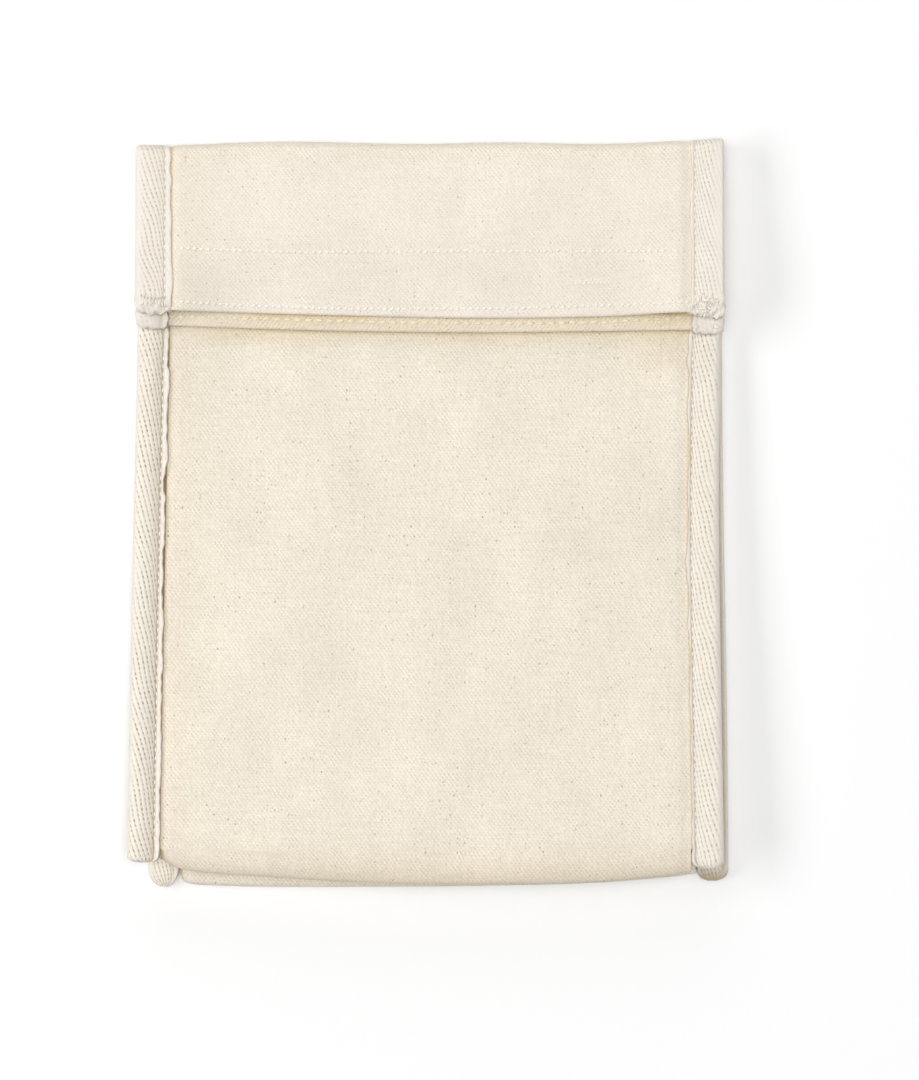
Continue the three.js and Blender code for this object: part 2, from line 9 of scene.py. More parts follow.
import bpy
import numpy as np
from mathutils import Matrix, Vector


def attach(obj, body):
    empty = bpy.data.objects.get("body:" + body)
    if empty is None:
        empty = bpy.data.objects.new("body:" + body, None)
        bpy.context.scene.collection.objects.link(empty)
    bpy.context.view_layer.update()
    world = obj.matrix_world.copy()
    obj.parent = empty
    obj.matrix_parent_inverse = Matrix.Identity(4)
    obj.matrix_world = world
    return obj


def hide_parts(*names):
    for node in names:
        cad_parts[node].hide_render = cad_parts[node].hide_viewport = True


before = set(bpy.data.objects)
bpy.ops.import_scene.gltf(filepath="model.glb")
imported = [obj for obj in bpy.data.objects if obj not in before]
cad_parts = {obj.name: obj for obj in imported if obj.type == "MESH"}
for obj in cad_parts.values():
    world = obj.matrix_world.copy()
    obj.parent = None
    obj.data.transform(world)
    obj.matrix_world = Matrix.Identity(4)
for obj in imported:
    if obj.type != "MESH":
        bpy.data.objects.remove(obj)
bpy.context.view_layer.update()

LOG = logging.getLogger("cooler_bag")
Array = np.ndarray
Material = bpy.types.Material
Object = bpy.types.Object
Socket = bpy.types.NodeSocket

MM = 0.001  # sizes are in millimetres, and Blender's are in metres
PAINTED_SHADE_NAME = "soil"  # by point, how much painted shade darkens the colour there
FADE_NAME = "fade"  # by point, how far the colour is paled and its weave faded: painted light on the canvas flap, washed-out cloth on the tapes
COLOURS = {"data_type": "RGBA", "out": 2}  # settings of a Mix node that mixes colours
UV_NAME = "cloth"  # the map that carries each cloth's own two directions, in metres
UPRIGHT = np.array([0.0, 0.0, 1.0])
SHARP_TURN = math.radians(55)  # an edge that turns by more stays sharp
PAST_FOLD = 1000.0  # a Y beyond the folded top, for places that aren't on the bag's body


class Layer(Enum):
    """The two panels of the bag, and the seams on them."""

    FRONT = "front"
    BACK = "back"


class Side(Enum):
    """The two sides of the bag as its front is looked at."""

    LEFT = "left"
    RIGHT = "right"

    @property
    def inward(self) -> int:
        """Sign of X from this side towards the middle."""
        return 1 if self is Side.LEFT else -1


FRONT, BACK = Layer
LEFT, RIGHT = Side


class Dent(NamedTuple):
    """A round hollow in the front panel that fades out at its spans."""

    x: float
    y: float
    span_x: float
    span_y: float
    depth: float


class TapeCut(NamedTuple):
    """One tape's own measures."""

    end: float  # Y of its lower end
    straight_end: float  # share of its end past the seam that isn't rounded off yet
    squareness: float  # power of the curve that rounds its ends: 2 is round
    selvedge: float  # width of the plain strip inside its sewn line
    swell: float  # share of the full swell that its outside leaf has
    crease: float  # how dark the painted shadow is in the crack of the canvas beside it
    edge: float = 2.0  # depth of its rounded outer edge
    shade_tint: float = 0.0  # how much painted shade darkens it towards its sewn line, where it slopes away from the light
    spread: float = 0.0  # how much wider it lies on the flap
    bunching: float = 0.2  # height of the bunched cloth at its end on the flap
    tucked_shade: float = 0.0  # painted shade at its lower end and where another tape lies over it
    faded: float = 0.0  # how washed out it is where it shows
    tangle: float = 0.0  # how disordered the stitches at its end on the flap are
    tacks: int = 0  # number of those stitches


class TapeSection(NamedTuple):
    """A tape's section as a ring of points."""

    d: Array  # inset from the outer edge
    h: Array  # height over the seam's underside
    out_d: Array  # the way out of the tape, along the inset and the height: none in the slot
    out_h: Array
    across: Array  # distance round the ring from the outermost point, less than 0 on the underside
    in_slot: Array  # whether the point is in the slot


def table(columns: str, *rows: tuple) -> dict[str, Array]:
    """A short table of numbers: its columns by name, the first in rising order."""
    return dict(zip(columns.split(), np.array(rows, float).T))


EDGES = table(  # outer edges of the four bound seams at places along the bag
    "y front_left front_right back_left back_right",
    (-131, -105.4, 103.3, -98.7, 105.3),
    (-60, -104.4, 102.2, -100.0, 104.6),
    (0, -103.4, 101.6, -101.2, 103.5),
    (60, -102.3, 102.3, -102.2, 102.9),
    (131, -102.6, 103.2, -102.6, 103.2),
)
FOLDED_TOP = table(  # outline of the folded top
    "x top",
    (-103, 129.2),
    (-88, 129.0),
    (-63, 130.0),
    (-45, 130.2),
    (-3, 129.4),
    (25, 130.0),
    (60, 129.4),
    (91, 130.7),
    (103, 131.4),
)
LIPS = table(  # ends of the two panels on the flap
    "x back front",
    (-103, 71.2, 66.5),
    (-88, 70.6, 65.5),
    (-31, 69.0, 63.7),
    (18, 68.1, 63.2),
    (60, 68.6, 63.6),
    (91, 70.0, 64.1),
    (103, 68.8, 64.2),
)
BOTTOM = table(  # outline of the two folds at the bottom
    "x front back",
    (-94, -121.2, -129.2),
    (-86, -124.6, -130.3),
    (-62, -126.8, -131.2),
    (-10, -129.6, -131.3),
    (25, -129.6, -130.9),
    (60, -128.9, -129.9),
    (94, -125.8, -127.0),
)
CROWN = table(  # the front's crown, the hollow between the gussets' creases, and where its slopes are
    "y rise hollow left right",
    (-131, 1.7, 0.2, -30, 20),
    (-110, 2.0, 0.3, -30, 20),
    (-80, 2.4, 0.9, -40, 28),
    (-32, 2.6, 1.1, -33, 30),
    (0, 2.4, 1.0, -22, 34),
    (38, 1.5, 0.5, -37, 38),
    (62, 0.15, 0.0, -40, 40),
    (131, 0.1, 0.0, -38, 40),
)
DENTS = (
    Dent(80, 38, 30, 44, 0.9),
    Dent(-72, -50, 18, 40, 0.6),
    Dent(-50, -96, 20, 26, 0.6),
    Dent(68, -52, 20, 44, 0.6),
)
FLAP_DENTS = (
    Dent(15, 108, 9, 18, 0.3),
    Dent(44, 104, 8, 9, 0.2),
    Dent(-17, 76, 9, 6, -0.25),
    Dent(16, 76, 9, 6, -0.25),
)
SHADE_PATCHES = (  # painted shade on the front under the lips, with its strength as its depth
    Dent(-68, 61.5, 30, 5, 0.12),
    Dent(-42, 60, 16, 7, 0.06),
    Dent(24, 60, 34, 5, 0.05),
    Dent(84, 58, 32, 16, 0.1),
)
FLAP_STITCHING = table(  # the two rows of stitches across the flap
    "x upper lower",
    (-88.9, 92.4, 73.7),
    (-45.2, 91.0, 71.7),
    (3.9, 91.35, 71.2),
    (38.9, 91.35, 71.75),
    (91.4, 91.35, 73.5),
)
TAPE_SWELL = table(  # a leaf's swell: inset 0 is its outer edge, 1 its sewn line, 2 its end
    "inset rise",
    (0, 0.0),
    (0.2, 0.5),
    (0.36, 0.75),
    (0.55, 0.6),
    (0.75, 0.2),
    (0.92, -0.3),
    (1, -0.5),
    (1.3, -0.15),
    (1.65, 0.12),
    (2, 0.0),
)
TAPES = {
    (FRONT, LEFT): TapeCut(
        end=-122.0, straight_end=0.3, squareness=2.6, selvedge=2.0, swell=1.05, crease=0.95, shade_tint=0.2
    ),
    (FRONT, RIGHT): TapeCut(
        end=-124.2, straight_end=0.3, squareness=2.6, selvedge=1.3, swell=0.7, crease=0.38,
        faded=0.22, tangle=1.0, tacks=9,
    ),
    (BACK, LEFT): TapeCut(
        end=-131.3, straight_end=0.12, squareness=2.1, selvedge=2.2, swell=0.5, crease=0.75,
        shade_tint=0.05, spread=1.4, tucked_shade=0.05, faded=0.3, tacks=9,
    ),
    (BACK, RIGHT): TapeCut(
        end=-129.2, straight_end=0.2, squareness=2.3, selvedge=1.3, swell=0.5, crease=0.15,
        edge=1.0, spread=0.4, bunching=0.35, tucked_shade=0.6, faded=0.35, tangle=1.0, tacks=30,
    ),
}
FLAP_LENGTH = 55.0  # about, from the fold to the lips
BODY_TOP = 122.0  # Y just short of the fold, where the body's rows start


def lerp(a: Any, b: Any, share: Any) -> Any:
    """The value that lies a share of the way from a to b."""
    return a + (b - a) * share


def smooth(value: Any, start: Any, end: Any) -> Array:
    """Cubic step from 0 at start to 1 at end."""
    t = np.clip((value - start) / (end - start), 0.0, 1.0)
    return t * t * (3.0 - 2.0 * t)


def bell(value: Any, width: float) -> Array:
    """Bell curve of height 1 whose half width is width."""
    return np.exp(-((value / width) ** 2))


def waves(x: Any, y: Any, seed: int, span: float, count: int = 20) -> Array:
    """Soft random waves: cosines of random direction and phase, about span long, with a spread of about 1.

    Args:
        x: Places across, in millimetres.
        y: Places along, in the same unit and of a shape that fits.
        seed: Seed of the random directions.
        span: Typical wavelength.
        count: Number of cosines.

    Returns:
        The summed waves at each place.
    """
    rng = np.random.default_rng(seed)
    angle = rng.uniform(0, 2 * math.pi, count)
    number = 2 * math.pi / (span * rng.uniform(0.6, 1.6, count))
    phase = rng.uniform(0, 2 * math.pi, count)
    x, y = np.broadcast_arrays(np.asarray(x, float), np.asarray(y, float))
    turns = x[..., None] * (number * np.cos(angle)) + y[..., None] * (number * np.sin(angle)) + phase
    return np.cos(turns).sum(axis=-1) * math.sqrt(2 / count)


def stacked(*columns: Any) -> Array:
    """Columns side by side in a new last axis, each stretched to the others' shape."""
    return np.stack(np.broadcast_arrays(*columns), axis=-1)


def walked(points: Array, axis: int = 0) -> Array:
    """Distance walked along each line of points, from 0 at its first."""
    step = np.linalg.norm(np.diff(points, axis=axis), axis=-1)
    return np.insert(np.cumsum(step, axis=axis), 0, 0, axis=axis)


def dented(dents: Sequence[Dent], x: Array, y: Array) -> Array:
    """Depth of all dents at a place: each falls off smoothly to nothing at its spans."""
    return sum(
        dent.depth * (1 - smooth(np.hypot((x - dent.x) / dent.span_x, (y - dent.y) / dent.span_y), 0, 1))
        for dent in dents
    )


class Curve:
    """A smooth curve through a table's column: cubic pieces with slopes from the neighbouring rows."""

    def __init__(self, rows: dict[str, Array], by: str, column: str) -> None:
        """Takes two columns of a table.

        Args:
            rows: The table.
            by: Column of the places, in rising order.
            column: Column of the values.
        """
        self.at, self.value = rows[by], rows[column]
        index = np.arange(len(self.at))
        before = np.maximum(index - 1, 0)
        after = np.minimum(index + 1, index[-1])
        self.slope = (self.value[after] - self.value[before]) / (self.at[after] - self.at[before])

    def __call__(self, place: Any) -> Array:
        """The curve's values at these places, held level outside the table."""
        place = np.clip(place, self.at[0], self.at[-1])
        i = np.clip(np.searchsorted(self.at, place, side="right") - 1, 0, len(self.at) - 2)
        span = self.at[i + 1] - self.at[i]
        t = (place - self.at[i]) / span
        ease = t * t * (3 - 2 * t)
        leave = t * (1 - t) ** 2 * span * self.slope[i]
        arrive = t * t * (t - 1) * span * self.slope[i + 1]
        return lerp(self.value[i], self.value[i + 1], ease) + leave + arrive


@dataclass(frozen=True)
class Stations:
    """Places along the unfolded bag: on its body, round the fold of the mouth, or on the flap."""

    y: Array  # Y on the body, or a value past the fold
    turn: Array  # angle round the fold: 0 on the body, half a turn on the flap
    share: Array  # share of the flap's length: 0 before the flap

    @classmethod
    def on_body(cls, y: Any) -> "Stations":
        """Stations on the bag's body, one to a row."""
        y = np.asarray(y, float).reshape(len(y), -1)
        return cls(y, np.zeros_like(y), np.zeros_like(y))

    @classmethod
    def round_bend(cls, turn: Any) -> "Stations":
        """Stations round the fold of the mouth, one to a row."""
        turn = np.asarray(turn, float)[:, None]
        return cls(np.full_like(turn, PAST_FOLD), turn, np.zeros_like(turn))

    @classmethod
    def on_flap(cls, share: Any) -> "Stations":
        """Stations on the flap, one to a row."""
        share = np.asarray(share, float).reshape(len(share), -1)
        return cls(np.full_like(share, PAST_FOLD), np.full_like(share, math.pi), share)

    @classmethod
    def joined(cls, *parts: "Stations") -> "Stations":
        """Several runs of stations, one after the other."""
        columns = zip(*((part.y, part.turn, part.share) for part in parts))
        return cls(*(np.concatenate(column) for column in columns))


@dataclass(frozen=True)
class BagShape:
    """The bag's form: its layers before the mouth is folded over, and where the fold takes them."""

    wall: float = 1.65  # insulated canvas in the open field of a panel
    seam_wall: float = 1.0  # the same canvas where a bound seam presses it
    tape_wall: float = 1.0
    gap: float = 0.2  # between leaves that lie on each other
    seam_rest: float = 0.3  # between the front seams and the back seams under them
    tape_reach: float = 11.2  # width of the folded tape
    edge_inset: float = 1.3  # from the tape's outer edge to the canvas inside it
    seam_fade: float = 5.0  # the width beside a seam where the wall swells to its full thickness
    fold_squeeze: float = 0.8  # share of its height that the stack keeps at the fold
    fold_round: float = 0.5  # depth of the fold as a share of its radius
    squeeze_start: float = 72.0
    flap_lift: float = 0.4
    wedge_start: float = 60.0
    wedge_end: float = -122.0
    wedge_rise: float = 9.5
    crown_sharpness: float = 2.2
    hollow_fade: float = 18.0
    press_back: float = 3.8  # how far each lip moves to meet the other
    press_front: float = 0.8
    press_middle_from: float = 0.4
    press_sides_from: float = 0.45
    press_full: float = 0.7
    press_none: float = 0.97
    crease_left: float = -35.0
    crease_right: float = 46.0
    seam_end_front: float = -117.0
    seam_end_back: float = -121.5
    lip_round: float = 1.1
    lip_least: float = 0.2
    edges: ClassVar[dict] = {
        (layer, side): Curve(EDGES, "y", f"{layer.value}_{side.value}") for layer in Layer for side in Side
    }
    lips: ClassVar[dict] = {layer: Curve(LIPS, "x", layer.value) for layer in Layer}
    bottom: ClassVar[dict] = {layer: Curve(BOTTOM, "x", layer.value) for layer in Layer}
    crown: ClassVar[dict] = {name: Curve(CROWN, "y", name) for name in ("rise", "hollow", "left", "right")}
    top: ClassVar[Curve] = Curve(FOLDED_TOP, "x", "top")

    @property
    def leaf(self) -> float:
        """Height of one leaf of canvas in a seam and the gap over it."""
        return self.seam_wall + self.gap

    @property
    def seam_stack(self) -> float:
        """Height of a bound seam: tape, two edges of canvas, tape."""
        return 3 * self.leaf + self.tape_wall

    @property
    def front_base(self) -> float:
        """Height at which the front seams lie over the back seams."""
        return self.seam_stack + self.seam_rest

    @property
    def fold_axis(self) -> float:
        """Height about which the mouth folds."""
        return self.front_base + self.seam_stack + self.gap

    def seam_end(self, layer: Layer) -> float:
        """Y at which the canvas of a bound seam ends at the bottom."""
        return self.seam_end_front if layer is FRONT else self.seam_end_back

    def fold_start(self, x: Array) -> Array:
        """Y at which the fold starts, so that its outermost layer reaches the folded top's outline."""
        return self.top(x) - self.fold_round * self.fold_squeeze * self.fold_axis

    def place(self, stations: Stations, x: Array, layer: Layer) -> Array:
        """Y on the unfolded bag: the body's own, or from the fold's start by the flap's share."""
        start = np.minimum(stations.y, self.fold_start(x))
        return lerp(start, self.lips[layer](x), stations.share)

    def folded(self, stations: Stations, x: Array, h: Array, layer: Layer) -> Array:
        """Moves points of the unfolded bag to where the folded mouth takes them.

        A point's distance from the fold's axis, thinned towards the fold, is a radius that turns round the
        axis by the station's angle. The flap also springs up by its share.

        Args:
            stations: Places along the bag.
            x: Places across it.
            h: Heights over the unfolded bag's underside.
            layer: The panel whose lip ends the flap.

        Returns:
            Points in millimetres, with the three coordinates last.
        """
        y = self.place(stations, x, layer)
        squeeze = 1 - (1 - self.fold_squeeze) * smooth(y, self.squeeze_start, self.fold_start(x))
        radius = squeeze * (self.fold_axis - h)
        out = y + self.fold_round * radius * np.sin(stations.turn)
        up = squeeze * self.fold_axis - radius * np.cos(stations.turn) + self.flap_lift * stations.share
        return stacked(x, out, up)

    def seam_edge(self, layer: Layer, side: Side, stations: Stations) -> Array:
        """Outer edge of a bound seam: the flap is as wide as the fold."""
        return self.edges[layer, side](stations.y)

    def seam_base(self, layer: Layer, stations: Stations) -> Array:
        """Height of a bound seam's underside: the front's rises towards the bottom as a wedge."""
        if layer is BACK:
            return np.zeros_like(stations.y)
        along = np.clip((self.wedge_start - stations.y) / (self.wedge_start - self.wedge_end), 0, 1)
        return self.front_base + self.wedge_rise * along

    def across(self, layer: Layer, stations: Stations, x: Array) -> tuple[Array, Array]:
        """Place across a panel's field, from -1 to 1 at its seams, and the distance to the nearer seam."""
        left = self.seam_edge(layer, LEFT, stations) + self.tape_reach
        right = self.seam_edge(layer, RIGHT, stations) - self.tape_reach
        u = np.clip((2 * x - left - right) / (right - left), -1, 1)
        return u, (1 - np.abs(u)) * (right - left) / 2

    def lips_pressed(self, x: Array, u: Array, stations: Stations) -> Array:
        """How nearly the lips are pressed together: 1 at their ends between the seams, 0 away from them."""
        over_left = 1 - smooth(x, self.crease_left, self.crease_left + self.hollow_fade)
        over_right = smooth(x, self.crease_right - self.hollow_fade, self.crease_right)
        start = lerp(self.press_middle_from, self.press_sides_from, np.maximum(over_left, over_right))
        across = 1 - smooth(np.abs(u), self.press_full, self.press_none)
        return across * smooth(stations.share, start, 1.0)

    def crowned(self, u: Array) -> Array:
        """Share of its full crown that a panel has at u: 1 over most of its field, 0 at its seams."""
        return 1 - np.abs(u) ** self.crown_sharpness

    def front_rise(self, x: Array, y: Array, u: Array) -> Array:
        """Rise of the front over its seams: its crown, less its dents and the hollow down its middle."""
        half = self.hollow_fade / 2
        left, right = self.crown["left"](y), self.crown["right"](y)
        hollow = smooth(x, left - half, left + half) - smooth(x, right - half, right + half)
        over = (self.crown["rise"](y) - dented(DENTS, x, y)) * self.crowned(u)
        return np.maximum(over - self.crown["hollow"](y) * hollow, 0)

    def panel_heights(self, layer: Layer, stations: Stations, x: Array) -> tuple[Array, Array]:
        """Heights of a panel's lower and upper face before the fold.

        The wall swells from the seams into the field. The front stands on its seams and its crown, the back
        lies flat, and the lips of both press together and are rounded off at their ends.

        Args:
            layer: The panel.
            stations: Places along the bag.
            x: Places across it.

        Returns:
            Lower and upper heights.
        """
        u, inside = self.across(layer, stations, x)
        swell = smooth(inside, 0, self.seam_fade)
        wall = lerp(self.seam_wall, self.wall, swell)
        pressed = self.lips_pressed(x, u, stations)
        if layer is FRONT:
            rise = self.front_rise(x, stations.y, u) - self.press_front * pressed * self.crowned(u)
            low = self.seam_base(layer, stations) + 2 * self.leaf + rise
        else:
            low = self.leaf * (1 - swell) + self.press_back * pressed
        to_lip = (1 - stations.share) * (self.fold_start(x) - self.lips[layer](x))
        near = 1 - np.clip(to_lip / self.lip_round, self.lip_least**2, 1)
        thin = wall * (1 - np.sqrt(1 - near**2)) / 2
        return low + thin, low + wall - thin


@dataclass(frozen=True)
class Finish:
    """What every finish of the bag has in common."""

    name: str
    roughness: float
    relief: float  # height of its bumps
    specular: float = 0.5
    sheen: float = 0.0
    sheen_roughness: float = 0.5

    def paint(self, add: partial, mm: Socket) -> tuple[Any, Socket]:
        """Adds the nodes of the finish's own pattern.

        Args:
            add: The function that adds nodes.
            mm: Place on the cloth in millimetres.

        Returns:
            The colour, and the height of the bumps.
        """
        raise NotImplementedError

    def make(self) -> Material:
        """Makes the material: the finish's own colour and bumps, by the place on the cloth in millimetres.

        Returns:
            The material.
        """
        material = bpy.data.materials.new(self.name)
        material.use_nodes = True
        material.node_tree.nodes.clear()
        add = partial(add_node, material.node_tree)
        uv = add("UVMap", uv_map=UV_NAME)
        mm = add("VectorMath", {0: uv, "Scale": 1 / MM}, operation="SCALE")
        colour, height = self.paint(add, mm)
        bump = add("Bump", {"Height": height, "Distance": self.relief * MM})
        looks = {
            "Base Color": colour,
            "Roughness": self.roughness,
            "Specular IOR Level": self.specular,
            "Sheen Weight": self.sheen,
            "Sheen Roughness": self.sheen_roughness,
            "Normal": bump,
        }
        shader = add("BsdfPrincipled", looks)
        add("OutputMaterial", {"Surface": shader})
        return material


def linear(code: str) -> tuple[float, float, float, float]:
    """A hex sRGB colour as linear red, green, blue and alpha."""
    values = [int(code[i : i + 2], 16) / 255 for i in (1, 3, 5)]
    return (*(v / 12.92 if v <= 0.04045 else ((v + 0.055) / 1.055) ** 2.4 for v in values), 1.0)


def add_node(
    tree: bpy.types.NodeTree, kind: str, inputs: dict | None = None, out: str | int = 0, **settings: Any
) -> Socket | None:
    """Adds a node, sets its settings, and sets or links its inputs.

    Args:
        tree: The tree that the node joins.
        kind: Blender's name of the node's type, after ShaderNode.
        inputs: By the input's name or number, a value or the output that it is linked to.
        out: Name or number of the output that is wanted.
        **settings: The node's own settings.

    Returns:
        That output, or nothing if the node has none.
    """
    node = tree.nodes.new(f"ShaderNode{kind}")
    for name, value in settings.items():
        setattr(node, name, value)
    for socket, value in (inputs or {}).items():
        if isinstance(value, Socket):
            tree.links.new(value, node.inputs[socket])
        else:
            node.inputs[socket].default_value = value
    return node.outputs[out] if node.outputs else None


@dataclass(frozen=True)
class CottonCanvas(Finish):
    """Natural cotton canvas: a fine uneven plain weave of unbleached yarn, matte, flecked with husks."""

    name: str = "natural_cotton_canvas"
    roughness: float = 0.92
    relief: float = 0.06
    specular: float = 0.25
    sheen: float = 0.08
    sheen_roughness: float = 0.6
    yarn: str = "#f1e9db"
    between: str = "#d5cab7"  # down between the threads
    faded: str = "#ebe3db"  # towards which the flap is paled: painted light, for the flap that catches more light
    yellowed: str = "#efe3c4"  # warm tint of light painted shade: by the seams, under the lips and at the bottom fold
    crease: str = "#a8968a"  # and over it the deeper painted shade, deepest in the crack beside a seam
    husk: str = "#ac9d80"
    warp: float = 0.723  # millimetres from thread to thread
    weft: float = 0.993
    weft_slope: float = 0.045  # the weft doesn't run quite square to the warp
    falling: float = 0.2  # shares of the falling and of the rising diagonal in the weave's relief
    rising: float = 0.095
    ribbed: float = 0.085  # share of the weft's own ribs
    grain: float = 0.3  # share of the unevenness from one crossing to the next
    fibre: float = 0.7  # share of the fuzz, and its size
    fibre_size: float = 0.5
    husk_every: tuple = (1.25, 1.65)  # millimetres across and along for each husk
    husk_size: float = 0.33  # radius of the largest, as a share of that
    blotch_size: tuple = (22.0, 42.0)  # millimetres across and along
    drift: float = 1.3  # how far the threads wander, and over what length
    drift_size: float = 4.0
    patch_size: float = 5.0  # of the patches with a stronger or a weaker weave
    slub: float = 0.4  # share of the thicker stretches of yarn, and their length along warp and weft
    slub_length: tuple = (14.0, 18.0)

    def paint(self, add: partial, mm: Socket) -> tuple[Any, Socket]:
        """Yarn shaded by the weave's relief, flecked with husks, blotched, paled on the flap as painted
        light, and darkened with painted shade in its creases.
        """
        height = self.weave(add, mm)
        shade = add("MapRange", {"Value": height, "From Min": 0.35, "From Max": 1.3})
        cloth = add("Mix", {0: shade, 6: linear(self.between), 7: linear(self.yarn)}, **COLOURS)
        flecked = add("Mix", {0: self.husks(add, mm), 6: cloth, 7: linear(self.husk)}, **COLOURS)
        # painted light on the canvas flap: paled towards a lighter colour, its weave fainter
        fade = add("Attribute", attribute_name=FADE_NAME, out="Fac")
        paled = add("Mix", {0: fade, 6: flecked, 7: linear(self.faded)}, **COLOURS)
        stretch = (*(1 / size for size in self.blotch_size), 1.0)
        blotches = add("Mapping", {"Vector": mm, "Scale": stretch})
        blotch = add("TexNoise", {"Vector": blotches, "Scale": 1.0, "Detail": 4.0})
        tone = add(
            "MapRange",
            {"Value": blotch, "From Min": 0.3, "From Max": 0.7, "To Min": 0.963, "To Max": 1.037},
        )
        toned = add("Mix", {0: 1.0, 6: paled, 7: tone}, blend_type="MULTIPLY", **COLOURS)
        # painted shade from the point attribute: a warm tint first, then a deeper one where it is strongest
        soil = add("Attribute", attribute_name=PAINTED_SHADE_NAME, out="Fac")
        soiled = toned
        for shade_tint, start, end in ((self.yellowed, 0.0, 0.5), (self.crease, 0.4, 1.0)):
            share = add("MapRange", {"Value": soil, "From Min": start, "From Max": end})
            soiled = add("Mix", {0: share, 6: soiled, 7: linear(shade_tint)}, blend_type="MULTIPLY", **COLOURS)
        return soiled, height

    def weave(self, add: partial, mm: Socket) -> Socket:
        """Height of the weave, from about 0.3 to 1.3.

        Over-and-under threads stand up along two diagonals, so the relief is two sine waves across them and
        one across the weft, stronger in some patches than in others. Each crossing stands a little higher
        or lower than the next, and noise makes the threads wander, thicken and fuzz.

        Args:
            add: The function that adds nodes.
            mm: Place on the cloth.

        Returns:
            The height.
        """
        drift = add("TexNoise", {"Vector": mm, "Scale": 1 / self.drift_size, "Detail": 4.0}, out="Color")
        place = add(
            "VectorMath", {0: drift, 1: (self.drift, self.drift, 0.0), 2: mm}, operation="MULTIPLY_ADD"
        )
        half_warp, half_weft = math.pi / self.warp, math.pi / self.weft
        skew = self.weft_slope * half_weft
        falls = (half_warp - skew, half_weft, 0.0)
        rises = (half_warp + skew, -half_weft, 0.0)
        ribs = (2 * skew, 2 * half_weft, 0.0)
        relief = 0.0
        for run, share in ((falls, self.falling), (rises, self.rising), (ribs, self.ribbed)):
            along = add("VectorMath", {0: place, 1: run}, operation="DOT_PRODUCT", out="Value")
            wave = add("Math", {0: along}, operation="SINE")
            relief = add("Math", {0: wave, 1: share, 2: relief}, operation="MULTIPLY_ADD")
        patch = add("TexNoise", {"Vector": mm, "Scale": 1 / self.patch_size, "Detail": 3.0})
        strength = add(
            "MapRange", {"Value": patch, "From Min": 0.3, "From Max": 0.7, "To Min": 0.2, "To Max": 1.6}
        )
        weave = add("Math", {0: relief, 1: strength}, operation="MULTIPLY")
        crossing = add(
            "VectorMath", {0: place, 1: (1 / self.warp, 1 / self.weft, 1.0)}, operation="MULTIPLY"
        )
        cell = add("VectorMath", {0: crossing}, operation="FLOOR")
        uneven = add("TexWhiteNoise", {"Vector": cell}, noise_dimensions="2D", out="Value")
        grain = add("Math", {0: uneven, 1: self.grain, 2: weave}, operation="MULTIPLY_ADD")
        fuzz = add("TexNoise", {"Vector": mm, "Scale": 1 / self.fibre_size, "Detail": 3.0})
        rough = add("Math", {0: fuzz, 1: self.fibre, 2: grain}, operation="MULTIPLY_ADD")
        slubs = []
        down, over = self.slub_length
        for stretch in ((1 / self.warp, 1 / down, 1.0), (1 / over, 1 / self.weft, 1.0)):
            at = add("Mapping", {"Vector": mm, "Scale": stretch})
            slubs.append(add("TexNoise", {"Vector": at, "Scale": 1.0, "Detail": 2.0}))
        slub = add("Math", {0: slubs[0], 1: slubs[1]}, operation="ADD")
        return add("Math", {0: slub, 1: self.slub, 2: rough}, operation="MULTIPLY_ADD")

    def husks(self, add: partial, mm: Socket) -> Socket:
        """How much of a husk shows: a speck in each cell of a pattern, most too small to see.

        Args:
            add: The function that adds nodes.
            mm: Place on the cloth.

        Returns:
            1 on the darkest husks, 0 between them.
        """
        across, along = self.husk_every
        at = add("Mapping", {"Vector": mm, "Scale": (1 / across, 1 / along, 1.0)})
        cells = add("TexVoronoi", {"Vector": at, "Scale": 1.0}, voronoi_dimensions="2D").node.outputs
        parts = add("SeparateColor", {"Color": cells["Color"]}).node.outputs
        few = add("Math", {0: parts["Red"], 1: 4.0}, operation="POWER")
        reach = add("Math", {0: few, 1: self.husk_size}, operation="MULTIPLY")
        core = add("Math", {0: reach, 1: 0.5}, operation="MULTIPLY")
        spot = add(
            "MapRange",
            {"Value": cells["Distance"], "From Min": core, "From Max": reach, "To Min": 1.0, "To Max": 0.0},
        )
        dark = add("Math", {0: parts["Green"], 1: 3.0}, operation="POWER")
        return add("Math", {0: spot, 1: dark}, operation="MULTIPLY")


